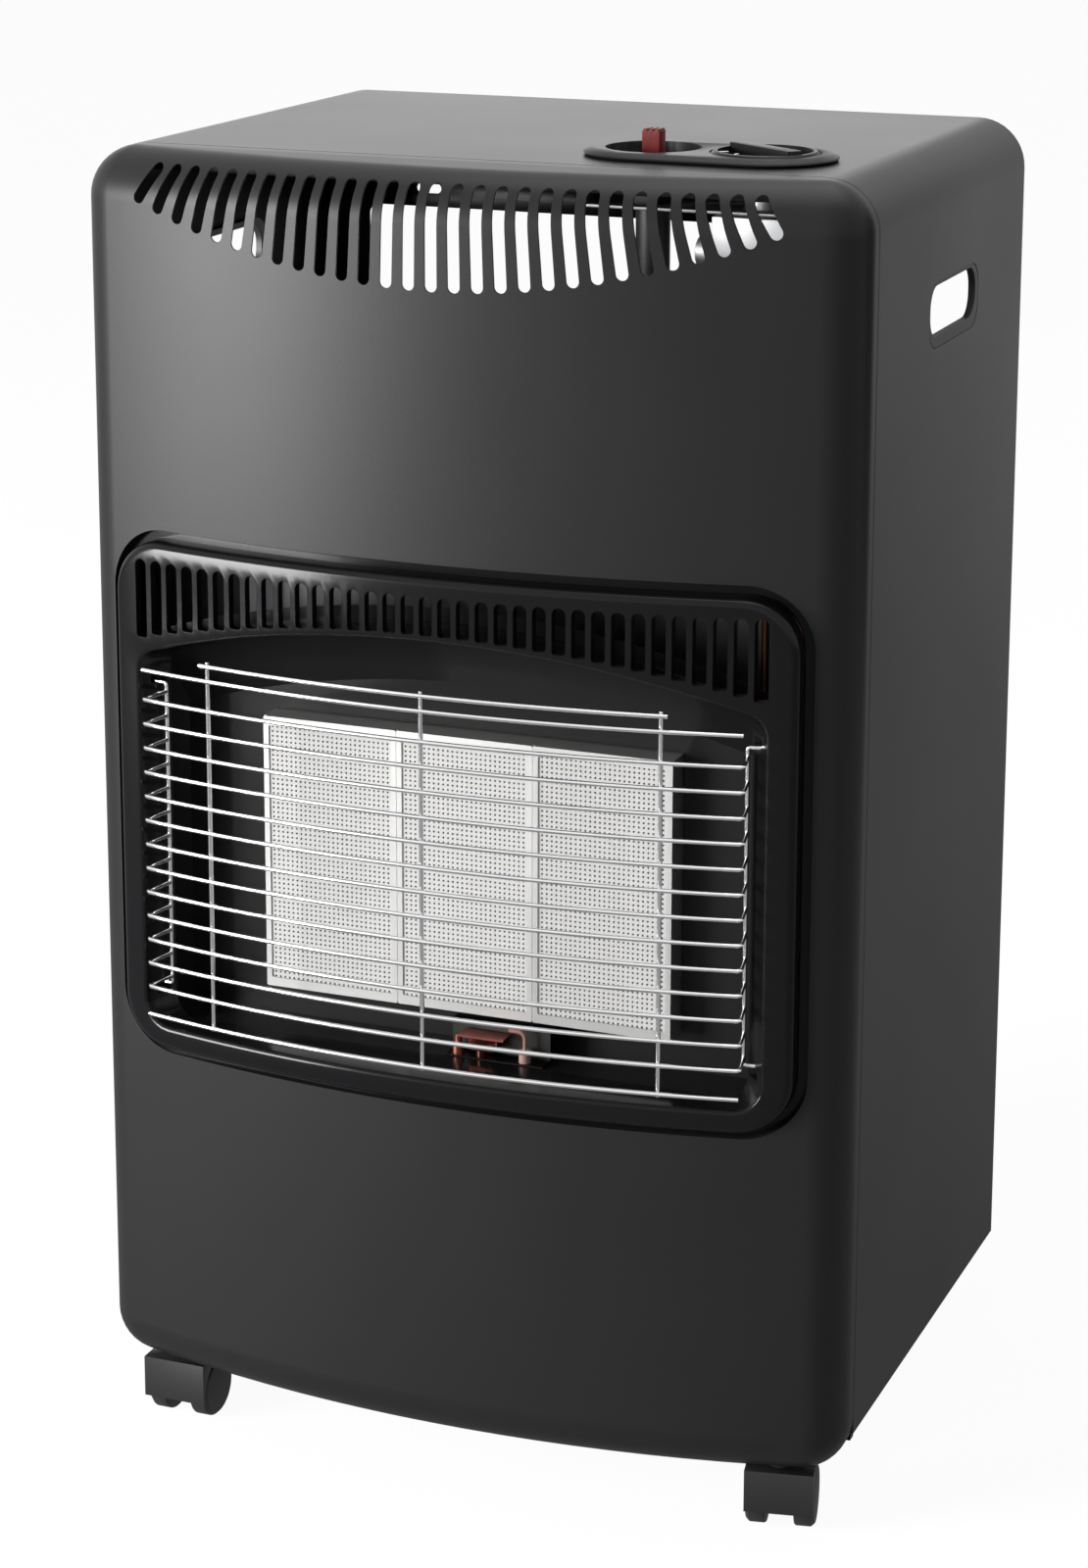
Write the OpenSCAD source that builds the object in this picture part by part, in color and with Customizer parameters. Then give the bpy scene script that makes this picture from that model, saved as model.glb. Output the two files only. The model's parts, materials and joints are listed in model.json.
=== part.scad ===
// Portable cabinet heater on casters: three ceramic plate burners behind a wire guard,
// in a bowed sheet-steel cabinet with room behind for a gas cylinder.
// Millimetres. +X to the right, +Y to the back, +Z up. The origin lies on the floor,
// under the middle of the overall box.

/* [Cabinet] */
// Width over the two sides
cabinet_w = 430; // [420:1:440]
// Height of the steel cabinet, without the casters
cabinet_h = 666; // [650:1:690]
// Depth of the wrap, from the front seam to the back
cabinet_d = 283; // [275:1:300]
// Thickness of the sheet steel
sheet = 1.2; // [1:0.1:1.5]
// Radius of the rounded top corners and of the front panel's edges
edge_r = 27; // [24:1:30]
// Gap between the floor and the sides
floor_gap = 58; // [56:1:60]
// Width of the flanges round the open back
back_flange = 28; // [24:1:32]
// Height of the closed strip at the top of the back
back_top_strip = 68; // [60:1:72]

/* [Front panel] */
// Depth of the front panel, from its middle to the seam
front_depth = 58.5; // [56:0.5:62]
// How far the middle of the front stands before its sides
front_bow = 32; // [28:1:34]
// How far the front panel reaches below the sides
front_drop = 18; // [16:1:19]
// Width of the burner window
window_w = 392; // [388:1:394]
// Lower edge of the window, above the cabinet's bottom
window_low = 173.6; // [170:0.2:178]
// Upper edge of the window
window_high = 466.4; // [460:0.2:470]
// Corner radius of the window
window_r = 34; // [30:1:38]
// Number of warm air slots under the top edge
vent_count = 29; // [25:2:29]
// Width of a warm air slot
vent_w = 6.7; // [6:0.1:7]
// Pitch of the slots along their lower ends
vent_pitch = 12.4; // [12:0.1:12.5]

/* [Burner surround] */
// How far the surround stands before the front panel
surround_proud = 8.7; // [7:0.1:10]
// Gap between the window and the surround
moat = 5.5; // [4.5:0.5:6.5]
// Width of the fire opening
opening_w = 350; // [344:1:352]
// Lower edge of the fire opening
opening_low = 192; // [190:1:194]
// Crown of the arched fire opening
opening_high = 428; // [426:1:430]
// Radius of the arch
arch_r = 540; // [520:10:600]
// Number of slots above the arch
grille_count = 35; // [31:2:35]
// Width of one of these slots
grille_w = 6; // [5.5:0.1:6.3]

/* [Burners] */
// Width of one burner
burner_w = 77.6; // [76:0.2:78]
// Height of the three ceramic plates
plate_h = 142; // [138:1:146]
// Lower edge of the plates, above the cabinet's bottom
plate_low = 217; // [214:1:220]
// Distance of the plates behind the middle of the front panel
plate_back = 41.6; // [40:0.2:43]
// Thickness of a ceramic plate
plate_t = 13; // [11:1:14]

/* [Guard] */
// Diameter of the guard wire
wire_d = 3.2; // [3:0.1:3.4]
// Distance of the wires before the front panel
guard_out = 17; // [15:0.5:18]
// Half of the guard's width
guard_half = 166.5; // [160:0.5:168]

/* [Controls] */
// Sideways place of the knob
knob_x = 137.5; // [136:0.5:140]
// Sideways place of the ignition button
button_x = 77; // [76:0.5:79]
// Distance of both behind the seam
control_back = 54; // [52:0.5:56]
// Radius of the knob
knob_r = 28; // [26:0.5:28.5]
// How far the knob is pushed in to light the pilot
knob_travel = 3; // [2:0.5:3]
// Travel of the ignition button
button_travel = 5; // [3:0.5:6]

/* [Casters] */
// Radius of a caster wheel
wheel_r = 17; // [16:0.5:17]
// Width of one wheel of a pair
wheel_w = 11; // [9:0.5:12]
// Distance from the swivel axis to the axle
caster_trail = 9; // [8:0.5:10]
// Sideways place of the casters
caster_x = 178; // [172:1:180]
// Sideways place of the rear casters, further in
caster_rear_x = 162; // [150:1:166]
// How far the front right caster is turned
caster_turn = 11.5; // [0:0.5:30]

/* [Hidden] */
$fn = 64;
eps = 0.02;

// Heights above the floor
base_z = floor_gap;
top_z = floor_gap + cabinet_h;
panel_low_z = base_z - front_drop;

// Front to back places, with the origin in the middle of the whole depth
wire_r = wire_d / 2;
hinge_proud = 8;
half_depth = (guard_out + wire_r + front_depth + cabinet_d + hinge_proud) / 2;
front_y = guard_out + wire_r - half_depth;
seam_y = front_y + front_depth;
back_y = seam_y + cabinet_d;

// The bow is an arc about a vertical axis far behind the cabinet
half_w = cabinet_w / 2;
bow_r = (pow(half_w, 2) + pow(front_bow, 2)) / (2 * front_bow);
bow_y = front_y + bow_r;
function bow_face(x, out) = bow_y - sqrt(pow(bow_r + out, 2) - x * x);

// Window, surround and fire opening
window_z0 = base_z + window_low;
window_z1 = base_z + window_high;
lip_depth = 6;
surround_t = 1.5;
surround_w = window_w - 2 * moat;
surround_z0 = window_z0 + moat;
surround_z1 = window_z1 - moat;
open_z0 = base_z + opening_low;
open_z1 = base_z + opening_high;
collar_y = seam_y - 32;
fire_back_y = seam_y;
guard_y0 = collar_y - 6;

// Burners
plate_y = front_y + plate_back;
plate_z0 = base_z + plate_low;
plate_z1 = plate_z0 + plate_h;
rim = 3;
housing_back_y = plate_y + 44;
housing_z0 = plate_z0 - 5;
housing_z1 = plate_z1 + 5;
tube_y = housing_back_y - 14;
tube_low_z = plate_z0 - 96;
injector_z = tube_low_z - 8;
shield_y = housing_back_y + 6;
shield_top_z = base_z + 505;

// Pilot burner, spark electrode and thermocouple in a row before the plates
pilot_x = 14;
pilot_y = plate_y - 9;
pilot_z = open_z0 + 3;
pilot_places = [pilot_x, pilot_x + 24, pilot_x - 14];
pipe_y = housing_back_y - 5;

// Controls
control_y = seam_y + control_back;
plinth_h = 4;
well_z = top_z - 4.2;
well_t = 1.5;
dish_r = 25;
knob_low_z = well_z + knob_travel + 0.7;
bracket_z = top_z - 26;
valve_top_z = bracket_z - 2;
sleeve_r = 6;
stem_r = 4;
clearance = 0.05;
button_w = 9.5;
plunger_r = 4.5;
piezo_r = 9;

// Hand holds in the sides
grip_y = (seam_y + back_y) / 2;
grip_w = 96;
grip_z0 = base_z + 565;
grip_z1 = base_z + 600;
grip_r = 13;

// Back cover and its hinge
cover_w = 396;
cover_low_z = base_z + 8;
cover_high_z = base_z + 532;
cover_y = back_y + 0.6;
cover_depth = 4;
hinge_y = back_y + 4;
hinge_z = cover_low_z + 1;
hinge_r = 2.5;

// Casters
base_low_z = base_z;
base_t = 1.5;
caster_front_y = seam_y - 8;
caster_rear_y = back_y - 32;
hood_w = 37;
hood_top_z = panel_low_z - 2.5;
axle_r = 2.5;
caster_stem_r = 5;
socket_r = 8;
socket_low_z = hood_top_z + 1.5;
socket_top_z = socket_low_z + 33;

steel_black = [0.13, 0.13, 0.135];
enamel_black = [0.05, 0.05, 0.055];
bare_steel = [0.62, 0.62, 0.63];
chrome = [0.85, 0.85, 0.87];
brass = [0.72, 0.56, 0.25];
copper = [0.72, 0.38, 0.24];

// ---------- drawing helpers ----------

// Extrudes a drawing in the X-Z plane along Y
module facing(y0, y1) {
    translate([0, y1, 0]) rotate([90, 0, 0]) linear_extrude(y1 - y0) children();
}

// Extrudes a drawing in the Y-Z plane along X
module sideways(x0, x1) {
    translate([x0, 0, 0]) rotate([90, 0, 90]) linear_extrude(x1 - x0) children();
}

// Rectangle centred on x = 0 with its own radii at the bottom and the top
module round_rect(w, z0, z1, r_low, r_high) {
    translate([-w / 2, z0 + r_low]) square([w, z1 - z0 - r_low - r_high]);
    translate([r_low - w / 2, z0]) square([w - 2 * r_low, r_low + eps]);
    translate([r_high - w / 2, z1 - r_high - eps]) square([w - 2 * r_high, r_high + eps]);
    for (s = [-1, 1]) {
        translate([s * (w / 2 - r_low), z0 + r_low]) circle(r_low);
        translate([s * (w / 2 - r_high), z1 - r_high]) circle(r_high);
    }
}

// Slot with round ends from one point to another
module slot(x0, z0, x1, z1, w) {
    long = norm([x1 - x0, z1 - z0]);
    translate([x0, z0]) rotate(atan2(z1 - z0, x1 - x0)) {
        translate([0, -w / 2]) square([long, w]);
        circle(w / 2);
        translate([long, 0]) circle(w / 2);
    }
}

// The arched fire opening, grown by a margin on every side
function arc_points(x, z, r, a0, a1, steps) =
    [for (i = [0:steps]) let (a = a0 + (a1 - a0) * i / steps) [x + r * cos(a), z + r * sin(a)]];

module arch(grow) {
    r = arch_r + grow;
    low_r = 14 + grow;
    high_r = 12 + grow;
    half = opening_w / 2 + grow;
    centre_z = open_z1 - arch_r;
    corner_x = half - high_r;
    corner_z = centre_z + sqrt(pow(r - high_r, 2) - pow(corner_x, 2));
    tilt = atan2(corner_z - centre_z, corner_x);
    low_z = open_z0 - grow + low_r;
    polygon(concat(
        arc_points(low_r - half, low_z, low_r, 180, 270, 6),
        arc_points(half - low_r, low_z, low_r, 270, 360, 6),
        arc_points(corner_x, corner_z, high_r, 0, tilt, 5),
        arc_points(0, centre_z, r, tilt + 1, 179 - tilt, 26),
        arc_points(-corner_x, corner_z, high_r, 180 - tilt, 180, 5)));
}

// Half section of a rounded edge: a strip whose outer corners are rounded
module edge_section(x0, x1, z0, z1, r) {
    translate([x0, z0]) square([x1 - r - x0, z1 - z0]);
    translate([x1 - r - eps, z0 + r]) square([r + eps, z1 - z0 - 2 * r]);
    for (z = [z0 + r, z1 - r]) intersection() {
        translate([x1 - r, z]) circle(r);
        translate([x1 - r - eps, z0]) square([r + eps, z1 - z0]);
    }
}

// Deep-drawn shell with a bowed front, open at the back, all of its front edges rounded.
// It joins from a revolved front, two revolved corners and a straight skirt a hair smaller.
module bowed_shell(w, z0, z1, r, t, y_back) {
    side_x = w / 2 - r;
    turn = asin(side_x / (bow_r - r));
    side_y = bow_y - sqrt(pow(bow_r - r, 2) - pow(side_x, 2));
    deep = side_y - bow_y + bow_r + 1;
    step = 0.1;
    intersection() {
        translate([0, bow_y, 0]) rotate(-90 - turn) rotate_extrude(angle = 2 * turn, $fn = 360)
            difference() {
                edge_section(bow_r - deep, bow_r, z0, z1, r);
                edge_section(bow_r - deep - 1, bow_r - t, z0 + t, z1 - t, r - t);
            }
        translate([-w / 2, front_y - 1, z0 - 1]) cube([w, side_y - front_y + 1.5, z1 - z0 + 2]);
    }
    for (s = [0, 1]) mirror([s, 0, 0]) translate([side_x, side_y, 0]) rotate(turn - 90)
        rotate_extrude(angle = 90 - turn) intersection() {
            translate([0, z0]) square([r, z1 - z0]);
            difference() {
                edge_section(-r, r, z0, z1, r);
                edge_section(-r - 1, r - t, z0 + t, z1 - t, r - t);
            }
        }
    facing(side_y, y_back) difference() {
        round_rect(w - 2 * step, z0 + step, z1 - step, r - step, r - step);
        round_rect(w - 2 * t - 2 * step, z0 + t + step, z1 - t - step, r - t - step, r - t - step);
    }
}

// Sheet between two bowed surfaces, both measured outwards from the front panel's face
module bowed_band(out0, out1, z0, z1) {
    turn = asin((half_w - 1) / bow_r);
    translate([0, bow_y, 0]) rotate(-90 - turn) rotate_extrude(angle = 2 * turn, $fn = 360)
        translate([bow_r + out0, z0]) square([out1 - out0, z1 - z0]);
}

module window_outline(grow) {
    round_rect(window_w + 2 * grow, window_z0 - grow, window_z1 + grow,
        window_r + grow, window_r + grow);
}

// ---------- cabinet ----------

module grip_outline(grow) {
    translate([grip_y, 0])
        round_rect(grip_w + 2 * grow, grip_z0 - grow, grip_z1 + grow, grip_r + grow, grip_r + grow);
}

module cabinet_shell() {
    inner_w = cabinet_w - 2 * sheet;
    lip = 14;
    color(steel_black) difference() {
        union() {
            facing(seam_y, back_y) difference() {
                round_rect(cabinet_w, base_z, top_z, eps, edge_r);
                round_rect(inner_w, base_z - 1, top_z - sheet, eps, edge_r - sheet);
            }
            // front lip that the front panel is screwed to
            facing(seam_y, seam_y + sheet) difference() {
                round_rect(cabinet_w, base_z, top_z, eps, edge_r);
                round_rect(cabinet_w - 2 * lip, base_z - 1, top_z - lip, eps, edge_r - lip);
            }
            // flanges round the open back
            facing(back_y - sheet, back_y) difference() {
                round_rect(cabinet_w, base_z, top_z, eps, edge_r);
                round_rect(cabinet_w - 2 * back_flange, base_z - 1, top_z - back_top_strip,
                    eps, 6);
            }
        }
        for (x = [-half_w - 1, half_w - 2]) sideways(x, x + 3) grip_outline(0);
        // holes for the two wells of the control panel
        translate([button_x, control_y, top_z - 3]) cylinder(h = 5, r = dish_r + well_t + 0.3);
        translate([knob_x, control_y, top_z - 3]) cylinder(h = 5, r = knob_r + well_t + 1);
        for (s = [-1, 1]) facing(back_y - 3, back_y + 1)
            slot(s * 148 - 5, base_z + 609, s * 148 + 5, base_z + 609, 6);
        screw_places() cylinder(h = 8, r = 1.8, center = true);
    }
}

module front_panel() {
    lip = 12;
    half_count = (vent_count - 1) / 2;
    vent_high = base_z + 660 - vent_w / 2;
    vent_low = base_z + 606 + vent_w / 2;
    vent_rise = 33;
    vent_lean = 0.65;
    color(steel_black) difference() {
        union() {
            bowed_shell(cabinet_w, panel_low_z, top_z, edge_r, sheet, seam_y);
            // inner flange, face to face with the wrap's front lip
            facing(seam_y - sheet, seam_y) difference() {
                round_rect(cabinet_w - 1, panel_low_z + 30, top_z - 0.5, eps, edge_r - 0.5);
                round_rect(cabinet_w - 2 * lip, panel_low_z, top_z - lip, eps, edge_r - lip);
            }
            // turned-in edge of the window
            intersection() {
                bowed_band(-lip_depth, -sheet / 2, window_z0 - 5, window_z1 + 5);
                facing(front_y - 5, seam_y) difference() {
                    window_outline(sheet);
                    window_outline(0);
                }
            }
        }
        facing(front_y - 5, seam_y + 5) window_outline(0);
        // warm air slots, fanned out and wrapped over the top edge
        for (s = [0, 1]) mirror([s, 0, 0]) facing(front_y - 5, seam_y - 3 * sheet)
            for (i = [s:half_count])
                slot(i * vent_pitch, vent_low + vent_rise * pow(i / half_count, 2),
                    i * (vent_pitch - vent_lean), vent_high, vent_w);
        // open underside with a wide lip
        intersection() {
            bowed_band(-front_depth - 30, -edge_r - 11, panel_low_z - 2, panel_low_z + 4);
            translate([-half_w + edge_r, front_y, panel_low_z - 2])
                cube([cabinet_w - 2 * edge_r, front_depth + 5, 6]);
        }
        for (s = [-1, 1]) translate([s * caster_x, caster_front_y, panel_low_z - 1])
            cylinder(h = 6, r = socket_r + 1);
        screw_places() cylinder(h = 8, r = 1.8, center = true);
    }
}

module base_plate() {
    inner_w = cabinet_w - 2 * sheet;
    turn_up = 24;
    color(steel_black) difference() {
        union() {
            translate([-inner_w / 2, seam_y + sheet + 0.1, base_low_z])
                cube([inner_w, cabinet_d - 3 * sheet, base_t]);
            intersection() {
                bowed_band(-front_depth - 30, -4.5, base_low_z, base_low_z + base_t);
                translate([-half_w + edge_r, front_y, base_low_z])
                    cube([cabinet_w - 2 * edge_r, front_depth + 4, base_t]);
            }
            for (s = [0, 1]) mirror([s, 0, 0]) {
                translate([inner_w / 2 - base_t, seam_y + 2, base_low_z])
                    cube([base_t, cabinet_d - 8, turn_up]);
                // tab at the lower end of the seam
                translate([half_w - 6, seam_y + sheet + 0.1, base_low_z - 5]) cube([4, 6, 6]);
            }
            // raised ring that keeps the cylinder in its place
            translate([0, (shield_y + back_y) / 2, base_low_z]) difference() {
                cylinder(h = base_t + 4, r = 112);
                translate([0, 0, -1]) cylinder(h = base_t + 6, r = 110);
            }
        }
        caster_places() translate([0, 0, base_low_z - 1]) cylinder(h = 5, r = socket_r);
        // air holes in the floor, a safety need of gas cabinets
        for (x = [-80:40:80]) translate([x, (shield_y + back_y) / 2, base_low_z - 1])
            cylinder(h = 5, r = 9);
    }
}

module heat_shield() {
    inner_w = cabinet_w - 2 * sheet - 2 * base_t;
    fold = 16;
    color(bare_steel) difference() {
        translate([-inner_w / 2, shield_y, base_low_z + base_t])
            cube([inner_w, fold, shield_top_z - base_low_z - base_t]);
        translate([-inner_w / 2 + 1, shield_y + 1, base_low_z])
            cube([inner_w - 2, fold, shield_top_z - base_low_z - fold]);
        translate([-inner_w / 2 + 1, shield_y + 1, base_low_z])
            cube([inner_w - 2, fold - 6, shield_top_z - base_low_z - 1]);
    }
}

module grip_insert(side) {
    wall = 1.8;
    color(enamel_black) mirror([side < 0 ? 1 : 0, 0, 0]) difference() {
        union() {
            sideways(half_w - 15, half_w) grip_outline(0);
            sideways(half_w - 15, half_w - sheet) grip_outline(2);
        }
        sideways(half_w - 20, half_w + 1) grip_outline(-wall);
    }
}
module handle_insert_left() { grip_insert(-1); }
module handle_insert_right() { grip_insert(1); }

// Places of the self-tapping screws, their heads on the +Y side
module screw_places() {
    for (s = [-1, 1]) {
        for (z = [base_z + 120, base_z + 330, base_z + 560])
            translate([s * (half_w - 7), seam_y + sheet, z]) rotate([-90, 0, 0]) children();
        translate([s * (half_w - 9.5), back_y + 1.5, hinge_z + 14]) rotate([-90, 0, 0]) children();
    }
    for (x = [-150, 0, 150])
        translate([x, seam_y + sheet, top_z - 8]) rotate([-90, 0, 0]) children();
}

module panel_screws() {
    color(bare_steel) screw_places() {
        rotate_extrude() polygon([[0, 0], [3.8, 0], [3.8, 1], [2.6, 2.2], [0, 2.4]]);
        translate([0, 0, -7]) cylinder(h = 7.5, r = 1.8);
    }
}

// ---------- back cover ----------

module rear_cover() {
    louvre_w = 96;
    color(steel_black) difference() {
        union() {
            difference() {
                facing(cover_y, cover_y + cover_depth)
                    round_rect(cover_w, cover_low_z, cover_high_z, 2, 12);
                facing(cover_y - 1, cover_y + cover_depth - sheet)
                    round_rect(cover_w - 2 * sheet, cover_low_z - 10, cover_high_z - sheet,
                        eps, 12 - sheet);
            }
            for (s = [0, 1]) mirror([s, 0, 0]) {
                // hinge lug and pin
                sideways(cover_w / 2 - 6, cover_w / 2 - 0.5) translate([hinge_y, hinge_z])
                    circle(3.4);
                translate([cover_w / 2 - 3, hinge_y, hinge_z]) rotate([0, 90, 0])
                    cylinder(h = 7.5, r = hinge_r);
            }
            // pressed louvre hoods
            for (x = [-120, 0, 120], row = [0:4], z = [cover_low_z + 60, cover_high_z - 170])
                translate([x, cover_y + cover_depth - sheet, z + row * 22]) intersection() {
                    rotate([0, 90, 0]) cylinder(h = louvre_w, r = 4.2, center = true);
                    translate([-louvre_w / 2, 0, 0]) cube([louvre_w, 5, 5]);
                }
        }
        for (x = [-120, 0, 120], row = [0:4], z = [cover_low_z + 60, cover_high_z - 170])
            translate([x, cover_y + cover_depth - sheet, z + row * 22]) {
                rotate([0, 90, 0]) cylinder(h = louvre_w - 4, r = 3.2, center = true);
                translate([2 - louvre_w / 2, -2, -3.2]) cube([louvre_w - 4, 10, 3.2]);
            }
        // finger notch in the upper edge
        facing(cover_y - 2, cover_y + cover_depth + 2) translate([0, cover_high_z + 8])
            circle(24);
    }
}

module hinge_brackets() {
    color(bare_steel) for (s = [0, 1]) mirror([s, 0, 0]) difference() {
        union() {
            sideways(cover_w / 2 + 0.5, cover_w / 2 + 3) {
                translate([back_y, hinge_z - 5]) square([hinge_y - back_y, 10]);
                translate([hinge_y, hinge_z]) intersection() {
                    circle(6);
                    translate([0, -5]) square([4, 10]);
                }
            }
            translate([cover_w / 2 + 0.5, back_y, hinge_z - 5]) cube([14, 1.5, 26]);
        }
        translate([cover_w / 2 - 2, hinge_y, hinge_z]) rotate([0, 90, 0])
            cylinder(h = 8, r = hinge_r + clearance);
        translate([half_w - 9.5, back_y - 1, hinge_z + 14]) rotate([-90, 0, 0])
            cylinder(h = 4, r = 1.8);
    }
}

// ---------- burner surround, fire box and guard ----------

// Outline of the surround, drawn in by a margin on every side
module surround_outline(inset) {
    r = window_r - moat - inset;
    round_rect(surround_w - 2 * inset, surround_z0 + inset, surround_z1 - inset, r, r);
}

// Bowed face sheet with straight walls behind it
module surround_shell() {
    difference() {
        facing(front_y - 14, collar_y) surround_outline(0);
        bowed_band(surround_proud, 40, surround_z0 - 5, surround_z1 + 5);
        bowed_band(-80, surround_proud - surround_t, surround_z0 - 5, surround_z1 + 5);
    }
    difference() {
        facing(front_y - 14, collar_y) difference() {
            surround_outline(0);
            surround_outline(surround_t);
        }
        bowed_band(surround_proud, 40, surround_z0 - 5, surround_z1 + 5);
    }
}

module burner_surround() {
    half_count = (grille_count - 1) / 2;
    grille_pitch = 10.16;
    slot_high = base_z + 450.5 - grille_w / 2;
    slot_low = base_z + 432 + grille_w / 2;
    slot_drop = 22;
    color(enamel_black) difference() {
        union() {
            surround_shell();
            // collar round the fire opening
            difference() {
                facing(front_y - 14, collar_y) difference() {
                    arch(surround_t);
                    arch(0);
                }
                bowed_band(surround_proud - surround_t / 2, 40, surround_z0, surround_z1);
            }
            // flange behind the turned-in edge of the window
            intersection() {
                bowed_band(-lip_depth - surround_t, -lip_depth, surround_z0 - 14, surround_z1 + 14);
                facing(front_y - 5, seam_y) difference() {
                    window_outline(8);
                    window_outline(-moat - surround_t);
                }
            }
        }
        facing(front_y - 20, seam_y + 5) arch(0);
        facing(front_y - 20, seam_y + 5) for (i = [-half_count:half_count])
            slot(i * grille_pitch, slot_low - slot_drop * pow(i / half_count, 2),
                i * grille_pitch, slot_high, grille_w);
        // holes for the guard's hooks
        for (s = [-1, 1], z = [guard_hook_low, guard_hook_high])
            translate([s * opening_w / 2, guard_y0, z]) cube([10, 7, 6], center = true);
    }
}

// The fire opening with its crown lowered and its sides drawn in, the floor kept level
module fire_outline(grow, drop, inset) {
    half = opening_w / 2 - inset + grow;
    intersection() {
        translate([0, -drop]) arch(grow);
        translate([-half, open_z0 - grow]) square([2 * half, 300]);
    }
}

// Funnel that narrows towards the burners
module funnel(y0, y1, grow) {
    hull() {
        facing(y0, y0 + 1) fire_outline(grow, 0, 0);
        facing(y1 - 1, y1) fire_outline(grow, 40, 7);
    }
}

module firebox() {
    skin = 1;
    color(enamel_black) difference() {
        union() {
            funnel(collar_y, fire_back_y, 2 * skin);
            facing(collar_y, collar_y + skin) arch(9);
        }
        funnel(collar_y, fire_back_y - skin, skin);
        facing(collar_y - 1, collar_y + 0.5) arch(skin);
        // window for the three burners
        facing(seam_y - 10, seam_y + 10)
            round_rect(3 * burner_w + 1, housing_z0 - 0.5, housing_z1 + 0.5, 2, 2);
        for (x = pilot_places) translate([x, pilot_y, open_z0 - 5]) cylinder(h = 10, r = 4);
    }
}

guard_low_z = base_z + 202;
guard_high_z = base_z + 394;
guard_first_z = base_z + 217.5;
guard_pitch = 13.35;
guard_rows = 13;
guard_side_x = guard_half + 2;
guard_hook_low = guard_first_z - 4;
guard_hook_high = guard_first_z + (guard_rows - 1) * guard_pitch + 5;

// Bowed wire between two sideways places
module bowed_wire(x0, x1, z, out) {
    r = bow_r + out;
    a0 = asin(x0 / r);
    a1 = asin(x1 / r);
    translate([0, bow_y, z]) rotate(a0 - 90)
        rotate_extrude(angle = a1 - a0, $fn = 360) translate([r, 0]) circle(wire_r, $fn = 16);
}

module upright_wire(x, y, z0, z1) {
    translate([x, y, z0]) cylinder(h = z1 - z0, r = wire_r, $fn = 16);
}

module guard() {
    bend_r = 5;
    end_y = bow_face(guard_half - bend_r, guard_out);
    color(chrome) {
        for (z = [guard_low_z, guard_high_z]) bowed_wire(-guard_half, guard_half, z, guard_out);
        for (i = [0:guard_rows - 1]) {
            z = guard_first_z + i * guard_pitch;
            bowed_wire(-guard_half + bend_r, guard_half - bend_r, z, guard_out);
            for (s = [0, 1]) mirror([s, 0, 0]) {
                translate([guard_half - bend_r, end_y + bend_r, z]) rotate(-90)
                    rotate_extrude(angle = 90) translate([bend_r, 0]) circle(wire_r, $fn = 16);
                translate([guard_half, end_y + bend_r, z]) rotate([-90, 0, 0])
                    cylinder(h = guard_y0 - end_y - bend_r, r = wire_r, $fn = 16);
            }
        }
        bowed_wire(-130, 130, base_z + 402, guard_out);
        for (x = [-126, 0, 126])
            upright_wire(x, bow_face(x, guard_out - wire_d + 0.6), guard_low_z - 2, base_z + 404);
        for (s = [0, 1]) mirror([s, 0, 0]) {
            upright_wire(guard_side_x, guard_y0, guard_hook_low - wire_r, guard_hook_high + wire_r);
            for (z = [guard_hook_low, guard_hook_high])
                translate([guard_side_x, guard_y0, z]) rotate([0, 90, 0])
                    cylinder(h = 10, r = wire_r, $fn = 16);
        }
    }
}

// ---------- burners ----------

module burner_bracket() {
    inner_w = cabinet_w - 2 * sheet;
    rail_y = housing_back_y;
    color(bare_steel) for (z = [housing_z0 + 20, housing_z1 - 32]) {
        translate([-inner_w / 2, rail_y, z]) cube([inner_w, 1.5, 18]);
        for (s = [0, 1]) mirror([s, 0, 0]) translate([inner_w / 2 - 1.5, rail_y - 20, z])
            cube([1.5, 26, 18]);
        translate([-inner_w / 2 + 20, rail_y, z - 1.5]) cube([inner_w - 40, 6, 1.5]);
    }
}

module burner_housing(i) {
    skin = 0.8;
    w = burner_w - 0.2;
    color(bare_steel) translate([i * burner_w, 0, 0]) difference() {
        sideways(-w / 2, w / 2) housing_profile(0);
        sideways(-w / 2 + skin, w / 2 - skin) housing_profile(skin);
        translate([0, tube_y, housing_z0 - 5]) cylinder(h = 10, r = 11);
    }
}

module housing_profile(skin) {
    y0 = plate_y + 1 - (skin > 0 ? 1 : 0);
    y1 = housing_back_y - skin;
    polygon([[y0, housing_z0 + skin], [y1, housing_z0 + skin], [y1, housing_z0 + 60],
        [y1 - 14, housing_z1 - 20], [y1 - 20, housing_z1 - skin], [y0, housing_z1 - skin]]);
}

module burner_housing_left() { burner_housing(-1); }
module burner_housing_centre() { burner_housing(0); }
module burner_housing_right() { burner_housing(1); }

module ceramic_plate(i) {
    w = burner_w - 2.4;
    color([0.93, 0.91, 0.86]) translate([i * burner_w - w / 2, plate_y, plate_z0 - 3.4])
        cube([w, plate_t, plate_h + 6.8]);
}
module ceramic_plate_left() { ceramic_plate(-1); }
module ceramic_plate_centre() { ceramic_plate(0); }
module ceramic_plate_right() { ceramic_plate(1); }

module plate_frame(i) {
    w = burner_w - 0.2;
    color(bare_steel) translate([i * burner_w, 0, 0]) difference() {
        facing(plate_y - 0.8, plate_y + 1) round_rect(w, housing_z0, housing_z1, 1, 1);
        facing(plate_y - 2, plate_y) round_rect(w - 2 * rim, plate_z0, plate_z1, 1, 1);
        facing(plate_y, plate_y + 2)
            round_rect(burner_w - 2.4, plate_z0 - 3.4, plate_z1 + 3.4, eps, eps);
    }
}
module plate_frame_left() { plate_frame(-1); }
module plate_frame_centre() { plate_frame(0); }
module plate_frame_right() { plate_frame(1); }

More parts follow.
